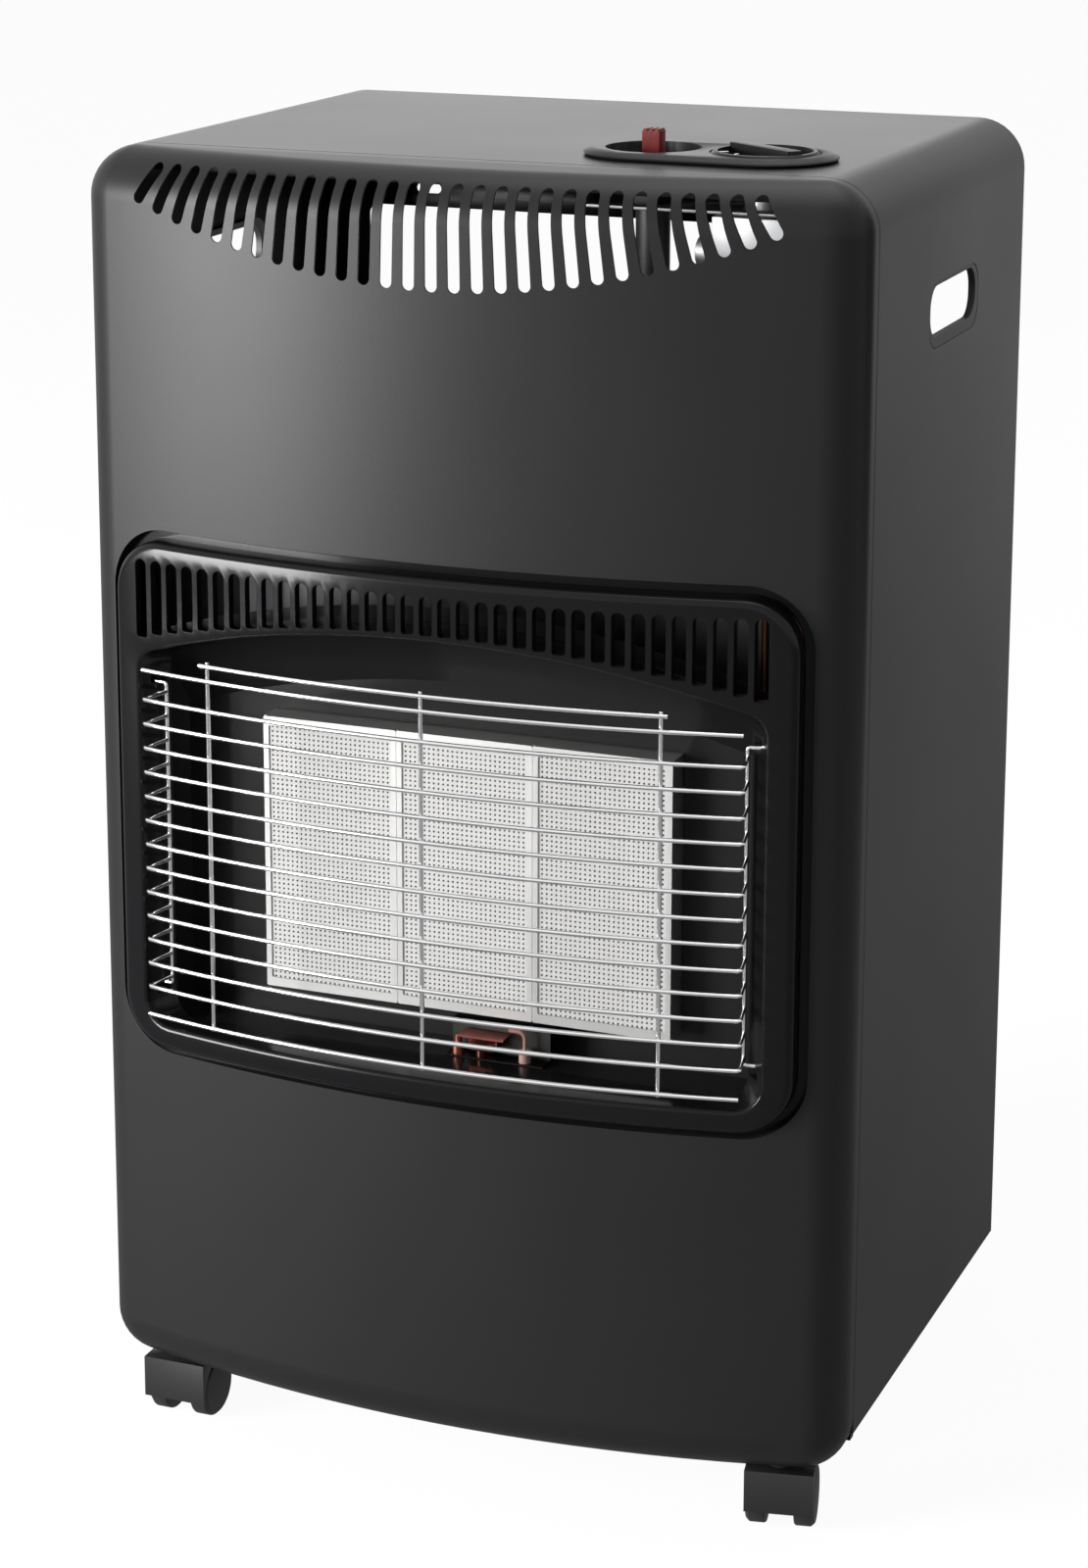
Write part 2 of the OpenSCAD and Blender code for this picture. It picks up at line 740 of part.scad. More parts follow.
module mixing_tube(i) {
    color(bare_steel) translate([i * burner_w, tube_y, tube_low_z]) rotate_extrude() difference() {
        union() {
            square([11, housing_z0 - tube_low_z + 12]);
            polygon([[0, 0], [16, 0], [16, 4], [11, 22], [0, 22]]);
        }
        polygon([[0, -1], [15, -1], [10, 20], [10, 120], [0, 120]]);
    }
}
module mixing_tube_left() { mixing_tube(-1); }
module mixing_tube_centre() { mixing_tube(0); }
module mixing_tube_right() { mixing_tube(1); }

module injector_rail() {
    rail_w = 3 * burner_w;
    color(bare_steel) difference() {
        union() {
            translate([-rail_w / 2, tube_y - 15, injector_z - 14]) cube([rail_w, 30, 2]);
            translate([-rail_w / 2, shield_y - 1.5, injector_z - 14]) cube([rail_w, 1.5, 26]);
            translate([-rail_w / 2, tube_y, injector_z - 14])
                cube([rail_w, shield_y - tube_y, 2]);
            // stays that hold the tubes over their injectors
            for (i = [-1:1]) translate([i * burner_w + 16, tube_y - 6, injector_z - 14])
                cube([2, 12, tube_low_z - injector_z + 18]);
        }
        for (i = [-1:1]) translate([i * burner_w, tube_y, injector_z - 15]) cylinder(h = 5, r = 4);
    }
}

module injectors() {
    color(brass) for (i = [-1:1]) translate([i * burner_w, tube_y, injector_z]) {
        difference() {
            rotate_extrude() polygon([[0, -26], [4, -26], [4, -12], [6.5, -12], [6.5, -4],
                [3.5, 4], [1.5, 8], [0, 8]]);
            translate([0, 0, -27]) cylinder(h = 30, r = 1.6);
        }
    }
}

// Bent pipe: straight runs with a slightly fuller ball at every corner
module pipe(points, r) {
    for (i = [0:len(points) - 2]) {
        a = points[i];
        b = points[i + 1];
        run = b - a;
        long = norm(run);
        translate(a) rotate([0, acos(run[2] / long), atan2(run[1], run[0])])
            cylinder(h = long, r = r, $fn = 24);
        if (i > 0) translate(a) sphere(r + 0.25, $fn = 24);
    }
}

module feed_pipes() {
    r = 2.4;
    top = valve_top_z - 30;
    low = injector_z - 26;
    color(copper) for (i = [-1:1]) {
        x = knob_x - 8 - i * 9;
        side_x = 172 - i * 8;
        turn_z = low - 12 + 6 * i;
        pipe([[x, control_y - 16, top], [x, pipe_y, top], [side_x, pipe_y, top - 24 - 7 * i],
            [side_x, pipe_y, turn_z], [i * burner_w, tube_y, turn_z], [i * burner_w, tube_y, low]], r);
    }
}

// ---------- pilot ----------

module pilot_pipe() {
    top = valve_top_z - 36;
    side_x = 152;
    low = pilot_z - 26;
    color(copper) pipe([[knob_x - 23, control_y, top], [knob_x - 34, control_y, top],
        [knob_x - 34, pipe_y, top - 12], [side_x, pipe_y, top - 60], [side_x, pipe_y, low],
        [side_x - 20, pilot_y, low], [pilot_x, pilot_y, low], [pilot_x, pilot_y, pilot_z - 14]], 2);
}

module pilot_bracket() {
    color(bare_steel) difference() {
        union() {
            translate([pilot_x - 20, pilot_y - 4.5, pilot_z - 4]) cube([56, 12.5, 1.5]);
            translate([pilot_x - 20, pilot_y + 6.5, pilot_z - 4]) cube([56, 1.5, 18]);
            translate([pilot_x - 20, pilot_y + 6.5, pilot_z + 12.5]) cube([56, 8, 1.5]);
        }
        for (x = pilot_places) translate([x, pilot_y, pilot_z - 5]) cylinder(h = 4, r = 3.2);
    }
}

module pilot_burner() {
    color(copper) translate([pilot_x, pilot_y, pilot_z]) difference() {
        union() {
            translate([0, 0, -14]) cylinder(h = 20, r = 3.2);
            translate([-6, -5, 2]) cube([14, 9, 7]);
            translate([-12, -6, 9]) cube([26, 11, 1]);
        }
        translate([3, -6, 4]) cube([6, 6, 3]);
    }
}

module spark_electrode() {
    color([0.8, 0.78, 0.74]) translate([pilot_x + 24, pilot_y, pilot_z]) {
        translate([0, 0, -16]) cylinder(h = 20, r = 3.2);
        translate([0, 0, 4]) cylinder(h = 6, r = 1);
        translate([-4, 0, 10]) rotate([90, 0, 0]) rotate_extrude(angle = 90)
            translate([4, 0]) circle(1);
        translate([-4, 0, 14]) rotate([0, -90, 0]) cylinder(h = 5, r = 1);
    }
}

module thermocouple() {
    color(copper) translate([pilot_x - 14, pilot_y, pilot_z]) {
        translate([0, 0, -22]) cylinder(h = 24, r = 3.2);
        translate([0, 0, 2]) cylinder(h = 6, r = 2);
    }
}

// ---------- controls ----------

module control_panel() {
    left_r = 36.5;
    right_r = 38;
    well_h = top_z - well_z + well_t + 1;
    // heights and insets of the plinth's outline, widest a little above the cabinet
    steps = [[0, 1.5], [1.6, 0], [2.2, 0.2], [plinth_h - eps, 4]];
    color(enamel_black) difference() {
        union() {
            hull() for (step = steps) {
                translate([button_x, control_y, top_z + step[0]])
                    cylinder(h = eps, r = left_r - step[1]);
                translate([knob_x, control_y, top_z + step[0]])
                    cylinder(h = eps, r = right_r - step[1]);
            }
            translate([button_x, control_y, well_z - well_t]) cylinder(h = well_h, r = dish_r + well_t);
            translate([knob_x, control_y, well_z - well_t])
                cylinder(h = well_h, r = knob_r + 0.7 + well_t);
        }
        translate([button_x, control_y, well_z]) cylinder(h = 20, r = dish_r);
        translate([knob_x, control_y, well_z]) cylinder(h = 20, r = knob_r + 0.7);
        translate([button_x, control_y, well_z])
            cube([button_w + 1, button_w + 1, 20], center = true);
        translate([knob_x, control_y, well_z - 5]) cylinder(h = 10, r = sleeve_r + 4);
    }
}

module control_knob() {
    h = 5.5;
    bar_w = 9;
    color(enamel_black) translate([knob_x, control_y, knob_low_z]) rotate(-35) difference() {
        union() {
            rotate_extrude() polygon([[0, 0], [knob_r, 0], [knob_r, h - 1.5],
                [knob_r - 1.5, h], [0, h]]);
            // grip bar
            intersection() {
                translate([-knob_r + 3, -bar_w / 2, 0]) cube([2 * knob_r - 6, bar_w, h + 2]);
                cylinder(h = h + 2, r = knob_r - 3);
            }
            translate([0, 0, -4]) cylinder(h = 6, r = 7);
        }
        // finger hollows either side of the bar
        for (s = [-1, 1]) intersection() {
            translate([0, 0, 1.5]) cylinder(h = h, r = knob_r - 3.5);
            translate([-knob_r, s > 0 ? bar_w / 2 : -knob_r - bar_w / 2, 1.5])
                cube([2 * knob_r, knob_r, h]);
        }
        translate([0, 0, -5]) stem_form(8, 0);
    }
}

// Round shaft with one flat
module stem_form(h, grow) {
    difference() {
        cylinder(h = h, r = stem_r + grow);
        translate([stem_r - 1 + grow, -10, -1]) cube([10, 20, h + 2]);
    }
}

module valve_stem() {
    low = valve_top_z - 30;
    color(brass) translate([knob_x, control_y, 0]) rotate(-35) {
        translate([0, 0, low]) cylinder(h = knob_low_z - 5 - low, r = stem_r);
        translate([0, 0, knob_low_z - 5]) stem_form(8, 0);
    }
}

module spindle_sleeve() {
    color(brass) translate([knob_x, control_y, valve_top_z - 10]) difference() {
        cylinder(h = 20, r = sleeve_r);
        translate([0, 0, -1]) cylinder(h = 22, r = stem_r + clearance);
    }
}

module ignition_button() {
    color([0.72, 0.1, 0.08]) translate([button_x, control_y, 0]) {
        translate([-button_w / 2, -button_w / 2, well_z])
            cube([button_w, button_w, top_z + 12.5 - well_z]);
        for (x = [-1:1]) translate([x * 3.2 - 1, -button_w / 2, top_z + 12.5])
            cube([2, button_w, 1]);
        translate([0, 0, top_z - 22]) cylinder(h = 22, r = plunger_r);
    }
}

module piezo_igniter() {
    color([0.1, 0.1, 0.1]) translate([button_x, control_y, 0]) difference() {
        union() {
            translate([0, 0, top_z - 62]) cylinder(h = 52, r = piezo_r);
            translate([0, 0, bracket_z + 1.5]) cylinder(h = 4, r = piezo_r + 4, $fn = 6);
            translate([0, 0, top_z - 70]) cylinder(h = 9, r = 3);
        }
        translate([0, 0, top_z - 30]) cylinder(h = 30, r = plunger_r + clearance);
    }
}

module gas_valve() {
    w = 46;
    d = 32;
    h = 40;
    color([0.55, 0.55, 0.56]) difference() {
        union() {
            translate([knob_x - w / 2, control_y - d / 2, valve_top_z - h]) cube([w, d, h]);
            translate([knob_x, control_y, valve_top_z - 1]) cylinder(h = 9, r = 10);
            // inlet boss at the back
            translate([knob_x, control_y + d / 2 - 1, valve_top_z - 24]) rotate([-90, 0, 0])
                cylinder(h = 11, r = 9);
            // magnet unit of the flame failure device
            translate([knob_x - w / 2 - 14, control_y + 6, valve_top_z - 22]) rotate([0, 90, 0])
                cylinder(h = 16, r = 8);
        }
        translate([knob_x, control_y, valve_top_z - 16]) cylinder(h = 40, r = sleeve_r + clearance);
        translate([knob_x, control_y, valve_top_z - 36]) cylinder(h = 40, r = stem_r + clearance);
        translate([knob_x, control_y + d / 2 - 2, valve_top_z - 24]) rotate([-90, 0, 0])
            cylinder(h = 20, r = 5);
    }
}

module valve_bracket() {
    x0 = button_x - 31;
    x1 = knob_x + 34;
    d = 44;
    color(bare_steel) difference() {
        union() {
            translate([x0, control_y - d / 2, bracket_z]) cube([x1 - x0, d, 1.5]);
            for (x = [x0, x1 - 1.5]) translate([x, control_y - d / 2, bracket_z])
                cube([1.5, d, top_z - sheet - bracket_z]);
        }
        translate([knob_x, control_y, bracket_z - 1]) cylinder(h = 5, r = 10);
        translate([button_x, control_y, bracket_z - 1]) cylinder(h = 5, r = piezo_r);
    }
}

module hose_nozzle() {
    y0 = control_y + 26;
    color(brass) translate([knob_x, y0, valve_top_z - 24]) rotate([-90, 0, 0]) difference() {
        union() {
            translate([0, 0, -8]) cylinder(h = 9, r = 5);
            cylinder(h = 8, r = 9, $fn = 6);
            cylinder(h = 38, r = 4);
        }
        // grooves that grip the hose
        for (z = [27, 31, 35]) translate([0, 0, z]) difference() {
            cylinder(h = 1.6, r = 5);
            translate([0, 0, -1]) cylinder(h = 4, r = 3.4);
        }
        translate([0, 0, -9]) cylinder(h = 60, r = 2.5);
    }
}

// ---------- casters ----------

module caster_sockets() {
    color([0.2, 0.2, 0.2]) caster_places() difference() {
        union() {
            translate([0, 0, socket_low_z]) cylinder(h = socket_top_z - socket_low_z, r = socket_r);
            translate([0, 0, base_low_z - 1.4]) cylinder(h = 1.4, r = socket_r + 0.6);
        }
        translate([0, 0, socket_low_z - 1]) cylinder(h = 33, r = caster_stem_r + clearance);
    }
}

module caster_places() {
    for (s = [-1, 1]) {
        translate([s * caster_x, caster_front_y, 0]) children();
        translate([s * caster_rear_x, caster_rear_y, 0]) children();
    }
}

// A caster about its swivel axis, the wheels trailing towards +Y
module caster_hood() {
    side_w = (hood_w - 2 * wheel_w) / 2;
    color([0.16, 0.16, 0.165]) difference() {
        union() {
            // hood over the treads with its flat front
            sideways(-hood_w / 2, hood_w / 2) difference() {
                hood_profile();
                translate([caster_trail, wheel_r]) circle(wheel_r + 1.4);
            }
            // web between the wheels
            sideways(-side_w + 1, side_w - 1) intersection() {
                union() {
                    hood_profile();
                    translate([caster_trail, wheel_r]) circle(8);
                    translate([-4, 10]) square([caster_trail + 8, 20]);
                }
                translate([-wheel_r, 6]) square([3 * wheel_r, hood_top_z - 6]);
            }
        }
        translate([-50, caster_trail, wheel_r]) rotate([0, 90, 0])
            cylinder(h = 100, r = axle_r);
    }
    color(bare_steel) {
        translate([0, 0, hood_top_z - 14]) cylinder(h = 14.5, r = caster_stem_r);
        translate([0, 0, hood_top_z]) cylinder(h = 32, r = caster_stem_r);
    }
}

// Side view of the hood: flat front, round over the back of the wheels
module hood_profile() {
    reach = wheel_r + 3.4;
    front = caster_trail - reach;
    low = 14;
    difference() {
        union() {
            translate([caster_trail, wheel_r]) circle(reach);
            translate([front, low]) square([reach, hood_top_z - low]);
        }
        translate([front - 1, -10]) square([60, 10 + low]);
        translate([caster_trail + reach - 8, -10]) square([60, 100]);
        translate([front - 1, hood_top_z]) square([60, 10]);
    }
}

module caster_axle() {
    color(bare_steel) translate([-hood_w / 2 + 1.5, caster_trail, wheel_r]) rotate([0, 90, 0])
        cylinder(h = hood_w - 3, r = axle_r);
}

module caster_wheel(side) {
    x0 = hood_w / 2 - wheel_w;
    color([0.12, 0.12, 0.12]) mirror([side < 0 ? 1 : 0, 0, 0])
        translate([x0, caster_trail, wheel_r]) rotate([0, 90, 0]) difference() {
            rotate_extrude() polygon([[0, 0], [wheel_r - 0.8, 0], [wheel_r, 0.8],
                [wheel_r, wheel_w - 2], [wheel_r - 2, wheel_w], [0, wheel_w]]);
            translate([0, 0, -1]) cylinder(h = wheel_w, r = axle_r + clearance);
        }
}

module at_caster(x, y, turn = 0) {
    translate([x, y, 0]) rotate(turn) children();
}

module caster_fl_hood() { at_caster(-caster_x, caster_front_y) caster_hood(); }
module caster_fl_axle() { at_caster(-caster_x, caster_front_y) caster_axle(); }
module caster_fl_wheel_left() { at_caster(-caster_x, caster_front_y) caster_wheel(-1); }
module caster_fl_wheel_right() { at_caster(-caster_x, caster_front_y) caster_wheel(1); }
module caster_fr_hood() { at_caster(caster_x, caster_front_y, caster_turn) caster_hood(); }
module caster_fr_axle() { at_caster(caster_x, caster_front_y, caster_turn) caster_axle(); }
module caster_fr_wheel_left() { at_caster(caster_x, caster_front_y, caster_turn) caster_wheel(-1); }
module caster_fr_wheel_right() { at_caster(caster_x, caster_front_y, caster_turn) caster_wheel(1); }
module caster_rl_hood() { at_caster(-caster_rear_x, caster_rear_y) caster_hood(); }
module caster_rl_axle() { at_caster(-caster_rear_x, caster_rear_y) caster_axle(); }
module caster_rl_wheel_left() { at_caster(-caster_rear_x, caster_rear_y) caster_wheel(-1); }
module caster_rl_wheel_right() { at_caster(-caster_rear_x, caster_rear_y) caster_wheel(1); }
module caster_rr_hood() { at_caster(caster_rear_x, caster_rear_y) caster_hood(); }
module caster_rr_axle() { at_caster(caster_rear_x, caster_rear_y) caster_axle(); }
module caster_rr_wheel_left() { at_caster(caster_rear_x, caster_rear_y) caster_wheel(-1); }
module caster_rr_wheel_right() { at_caster(caster_rear_x, caster_rear_y) caster_wheel(1); }

cabinet_shell();
front_panel();
base_plate();
heat_shield();
rear_cover();
hinge_brackets();
handle_insert_left();
handle_insert_right();
panel_screws();
control_panel();
control_knob();
valve_stem();
spindle_sleeve();
ignition_button();
piezo_igniter();
gas_valve();
valve_bracket();
hose_nozzle();
burner_surround();
firebox();
guard();
burner_bracket();
burner_housing_left();
burner_housing_centre();
burner_housing_right();
ceramic_plate_left();
ceramic_plate_centre();
ceramic_plate_right();
plate_frame_left();
plate_frame_centre();
plate_frame_right();
mixing_tube_left();
mixing_tube_centre();
mixing_tube_right();
injector_rail();
injectors();
feed_pipes();
pilot_pipe();
pilot_bracket();
pilot_burner();
spark_electrode();
thermocouple();
caster_sockets();
caster_fl_hood();
caster_fl_axle();
caster_fl_wheel_left();
caster_fl_wheel_right();
caster_fr_hood();
caster_fr_axle();
caster_fr_wheel_left();
caster_fr_wheel_right();
caster_rl_hood();
caster_rl_axle();
caster_rl_wheel_left();
caster_rl_wheel_right();
caster_rr_hood();
caster_rr_axle();
caster_rr_wheel_left();
caster_rr_wheel_right();
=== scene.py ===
# %% [markdown]
# # Cabinet heater: dressing the frame
# A gas heater in a black steel cabinet on casters. The frame brings every part as a plain solid in
# metres. This lesson gives each one its finish and the fine shape that the real thing has.

# %% Load the frame
import bpy, bmesh, json, math
from mathutils import Matrix, Vector

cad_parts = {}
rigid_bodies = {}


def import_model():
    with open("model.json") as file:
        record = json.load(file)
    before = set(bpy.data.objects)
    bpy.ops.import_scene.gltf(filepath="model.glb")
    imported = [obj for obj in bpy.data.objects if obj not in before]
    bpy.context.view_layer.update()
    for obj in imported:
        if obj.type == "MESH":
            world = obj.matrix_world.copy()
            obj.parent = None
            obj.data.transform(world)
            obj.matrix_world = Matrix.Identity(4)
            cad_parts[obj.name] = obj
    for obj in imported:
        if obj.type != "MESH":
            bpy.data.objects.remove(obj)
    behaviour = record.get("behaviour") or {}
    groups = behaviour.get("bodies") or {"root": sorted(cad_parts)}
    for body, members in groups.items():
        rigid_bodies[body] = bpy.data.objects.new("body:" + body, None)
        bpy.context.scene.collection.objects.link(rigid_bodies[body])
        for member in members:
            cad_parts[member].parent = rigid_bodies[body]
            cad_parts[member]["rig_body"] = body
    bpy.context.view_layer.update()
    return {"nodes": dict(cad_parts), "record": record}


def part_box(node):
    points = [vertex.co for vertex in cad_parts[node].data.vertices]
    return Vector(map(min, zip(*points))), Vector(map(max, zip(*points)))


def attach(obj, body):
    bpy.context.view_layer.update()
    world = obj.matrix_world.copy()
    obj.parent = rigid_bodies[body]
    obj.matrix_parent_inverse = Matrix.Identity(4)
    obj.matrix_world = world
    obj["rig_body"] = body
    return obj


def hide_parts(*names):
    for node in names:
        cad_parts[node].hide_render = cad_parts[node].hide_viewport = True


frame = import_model()
solids = frame["nodes"]
MM = 0.001

# %% [markdown]
# ## Camera
# The heater is seen from its right front and a little from above. A camera could be tilted until all
# of it is in view, but then the upright edges lean together. This one is tilted less and its picture
# is shifted down instead, which is what a shift lens does.

# %% Place the camera
SENSOR = 36.0
LONG_SIDE = 1600.0
FOCAL_PIXELS = 3730.2
SHIFT_PIXELS = -260.0
TURN, RISE, ROLL = math.radians(21.617), math.radians(12.907), math.radians(0.12)
CAMERA_PLACE = Vector((717.3, -1821.1, 956.4)) * MM

camera_data = bpy.data.cameras.new("camera")
camera_data.sensor_fit = "AUTO"
camera_data.sensor_width = SENSOR
camera_data.lens = FOCAL_PIXELS * SENSOR / LONG_SIDE
camera_data.shift_x = 0.0
camera_data.shift_y = SHIFT_PIXELS / LONG_SIDE
camera = bpy.data.objects.new("camera", camera_data)
back = Vector((math.sin(TURN) * math.cos(RISE), -math.cos(TURN) * math.cos(RISE), math.sin(RISE)))
across = Vector((math.cos(TURN), math.sin(TURN), 0.0))
right = across * math.cos(ROLL) + back.cross(across) * math.sin(ROLL)
look = Matrix((right, back.cross(right), back)).transposed().to_4x4()
look.translation = CAMERA_PLACE
camera.matrix_world = look
bpy.context.scene.collection.objects.link(camera)
bpy.context.scene.camera = camera
bpy.context.scene.view_settings.view_transform = "Standard"
print("camera", round(camera_data.lens, 1), "mm lens")

# %% [markdown]
# ## Studio
# A white sweep, as in a catalogue. White all round would light the black paint until it looks grey, so
# the surround is white only to the camera, to reflections and through gaps, and dim as a light. The
# Light Path node tells the kinds of ray apart.


# %% Helpers for shader trees
def add_node(tree, kind, **values):
    """Adds a shader node and sets its properties, or its sockets where the name is a socket's."""
    made = tree.nodes.new(kind)
    for key, value in values.items():
        if hasattr(made, key):
            setattr(made, key, value)
        else:
            made.inputs[key.replace("_", " ")].default_value = value
    return made


def math_node(tree, operation, *operands):
    """A math node; each operand is a number or an output."""
    made = add_node(tree, "ShaderNodeMath", operation=operation)
    for place, value in enumerate(operands):
        if isinstance(value, (int, float)):
            made.inputs[place].default_value = value
        else:
            tree.links.new(value, made.inputs[place])
    return made.outputs[0]


def sees_backdrop(tree):
    """One where a ray from the camera, a reflection or a see-through surface arrives, else zero."""
    path = add_node(tree, "ShaderNodeLightPath")
    seen = math_node(tree, "MAXIMUM", path.outputs["Is Camera Ray"], path.outputs["Is Glossy Ray"])
    return math_node(tree, "MAXIMUM", seen, path.outputs["Is Transmission Ray"])


def mix_shaders(tree, share, first, second, output_kind):
    """Mixes two shaders by a share and ends the tree with them."""
    mixed = add_node(tree, "ShaderNodeMixShader")
    for place, source in enumerate((share, first.outputs[0], second.outputs[0])):
        tree.links.new(source, mixed.inputs[place])
    tree.links.new(mixed.outputs[0], add_node(tree, output_kind).inputs[0])


# %% White surround
WHITE = (1, 1, 1, 1)
AMBIENT = 0.4

world = bpy.data.worlds.new("studio_surround")
bpy.context.scene.world = world
world.use_nodes = True
tree = world.node_tree
tree.nodes.clear()
ambient = add_node(tree, "ShaderNodeBackground", Color=WHITE, Strength=AMBIENT)
white = add_node(tree, "ShaderNodeBackground", Color=WHITE, Strength=1.0)
mix_shaders(tree, sees_backdrop(tree), ambient, white, "ShaderNodeOutputWorld")
print("surround is white to the camera and", AMBIENT, "as a light")

# %% [markdown]
# ## Floor
# The floor runs into the surround. It is mostly its own light, with a little plain paint mixed in that
# carries a soft shadow. In reflections it is darker in front of the heater than behind it; an even
# floor would make the lower half of the cabinet look washed out.

# %% Floor sheet
REACH = 30
CORNERS = [(-REACH, -REACH, 0), (REACH, -REACH, 0), (REACH, REACH, 0), (-REACH, REACH, 0)]

floor_mesh = bpy.data.meshes.new("floor")
floor_mesh.from_pydata(CORNERS, [], [(0, 1, 2, 3)])
floor = bpy.data.objects.new("floor", floor_mesh)
bpy.context.scene.collection.objects.link(floor)
print("floor", 2 * REACH, "m wide")

# %% Floor paint
FLOOR_PAINT = (0.86, 0.86, 0.86, 1)
GLOW_SHARE = 0.95
DARK_FRONT = {"From_Min": 0.2, "From_Max": 4.0, "To_Min": 0.28, "To_Max": 1.0}

pale = bpy.data.materials.new("pale_floor")
pale.use_nodes = True
tree = pale.node_tree
tree.nodes.clear()
paint = add_node(tree, "ShaderNodeBsdfDiffuse", Color=FLOOR_PAINT, Roughness=1.0)
place = add_node(tree, "ShaderNodeSeparateXYZ")
tree.links.new(add_node(tree, "ShaderNodeNewGeometry").outputs["Position"], place.inputs[0])
ramp = add_node(tree, "ShaderNodeMapRange", **DARK_FRONT)
tree.links.new(place.outputs["Y"], ramp.inputs["Value"])
path = add_node(tree, "ShaderNodeLightPath")
glow = add_node(tree, "ShaderNodeEmission")
tree.links.new(math_node(tree, "MAXIMUM", ramp.outputs[0], path.outputs["Is Camera Ray"]),
               glow.inputs["Strength"])
mix_shaders(tree, math_node(tree, "MULTIPLY", sees_backdrop(tree), GLOW_SHARE), paint, glow,
            "ShaderNodeOutputMaterial")
floor_mesh.materials.append(pale)
print("floor paint glows by", GLOW_SHARE, "of what is seen of it")

# %% [markdown]
# ## Lamps
# Satin black shows the lamps' shapes more than its own colour. So they are few and large: a softbox at
# the left gives the front its broad, soft gradient, one above fills the shadows, and one far behind
# lies on the top as a pale sheen. Small lamps would leave hard white spots.


# %% Lamps
def softbox(name, place, aim, width, height, power):
    """A large rectangular lamp that faces a point."""
    data = bpy.data.lights.new(name, "AREA")
    data.shape = "RECTANGLE"
    data.size, data.size_y, data.energy = width, height, power
    lamp = bpy.data.objects.new(name, data)
    way = Vector(aim) - Vector(place)
    lamp.matrix_world = Matrix.Translation(place) @ way.to_track_quat("-Z", "Y").to_matrix().to_4x4()
    lamp.visible_camera = False
    bpy.context.scene.collection.objects.link(lamp)
    print(name, power, "W")


softbox("key_left", (-1.62, -1.72, 0.66), aim=(0.0, -0.1, 0.50), width=0.9, height=1.1, power=132)
softbox("top_fill", (0.2, 0.3, 2.4), aim=(0.0, 0.0, 0.6), width=1.6, height=1.6, power=22)
softbox("back_glow", (-1.5, 3.0, 1.25), aim=(0.0, 0.0, 0.70), width=2.2, height=0.8, power=9)

# %% [markdown]
# ## Flag
# In a studio, black cards beside a shiny object give it dark edges. This one stands behind the heater
# on its right. Only reflections see it, so it darkens what the paint mirrors there and casts no shadow.

# %% Black card
CARD = [(0.75, 1.2, 0.004), (2.6, 1.2, 0.004), (2.6, 1.2, 1.3), (0.75, 1.2, 1.3)]
CARD_BLACK = (0.004, 0.004, 0.004, 1)

card_mesh = bpy.data.meshes.new("side_flag")
card_mesh.from_pydata(CARD, [], [(0, 1, 2, 3)])
card = bpy.data.objects.new("side_flag", card_mesh)
bpy.context.scene.collection.objects.link(card)
black = bpy.data.materials.new("side_flag")
black.use_nodes = True
shader = black.node_tree.nodes["Principled BSDF"]
shader.inputs["Base Color"].default_value = CARD_BLACK
shader.inputs["Specular IOR Level"].default_value = 0.0
card_mesh.materials.append(black)
card.visible_camera = card.visible_diffuse = card.visible_shadow = False
card.visible_transmission = False
print("card stands at y", CARD[0][1])

# %% [markdown]
# ## Shared surface effects
# Painted steel is never flat: powder lies in a fine orange peel, enamel flows a little wavy, bare metal
# is brushed, and metal near a flame turns dark, which on the bare steel inside the cabinet is also
# painted shade. Each effect is a node group that gives a height or a mask, so that every finish can
# use it with its own sizes.


# %% Grain group
def shader_group(name, inputs, outputs):
    """An empty group with number inputs {name: value} and number outputs."""
    group = bpy.data.node_groups.new(name, "ShaderNodeTree")
    for key, value in inputs.items():
        socket = group.interface.new_socket(key, in_out="INPUT", socket_type="NodeSocketFloat")
        socket.default_value = value
    for key in outputs:
        group.interface.new_socket(key, in_out="OUTPUT", socket_type="NodeSocketFloat")
    return group, group.nodes.new("NodeGroupInput"), group.nodes.new("NodeGroupOutput")


grain, given, result = shader_group("surface_grain", {"Size": 0.0015, "Depth": 0.00002, "Tone": 0.1},
                                    ("Height", "Shade"))
coords = add_node(grain, "ShaderNodeTexCoord")
fine = add_node(grain, "ShaderNodeTexNoise", Detail=2.0, Roughness=0.55)
broad = add_node(grain, "ShaderNodeTexNoise", Scale=9.0, Detail=3.0, Roughness=0.5)
for texture in (fine, broad):
    grain.links.new(coords.outputs["Object"], texture.inputs["Vector"])
grain.links.new(math_node(grain, "DIVIDE", 1.0, given.outputs["Size"]), fine.inputs["Scale"])
grain.links.new(math_node(grain, "MULTIPLY", fine.outputs["Fac"], given.outputs["Depth"]),
                result.inputs["Height"])
swing = math_node(grain, "SUBTRACT", broad.outputs["Fac"], 0.5)
grain.links.new(math_node(grain, "MULTIPLY_ADD", swing, given.outputs["Tone"], 1.0),
                result.inputs["Shade"])
print("group", grain.name)

# %% Brushed group
STRETCH = (0.03, 1.0, 1.0)

brushed, given, result = shader_group("brushed_lines", {"Pitch": 0.0006, "Depth": 0.00001}, ("Height",))
coords = add_node(brushed, "ShaderNodeTexCoord")
squeeze = add_node(brushed, "ShaderNodeMapping", Scale=STRETCH)
streak = add_node(brushed, "ShaderNodeTexNoise", Detail=2.0)
brushed.links.new(coords.outputs["Object"], squeeze.inputs["Vector"])
brushed.links.new(squeeze.outputs[0], streak.inputs["Vector"])
brushed.links.new(math_node(brushed, "DIVIDE", 1.0, given.outputs["Pitch"]), streak.inputs["Scale"])
brushed.links.new(math_node(brushed, "MULTIPLY", streak.outputs["Fac"], given.outputs["Depth"]),
                  result.inputs["Height"])
print("group", brushed.name)

# %% Heat tint and painted shade group
FLAME = (0.0, -0.11, 0.33)
FADE = 1.6

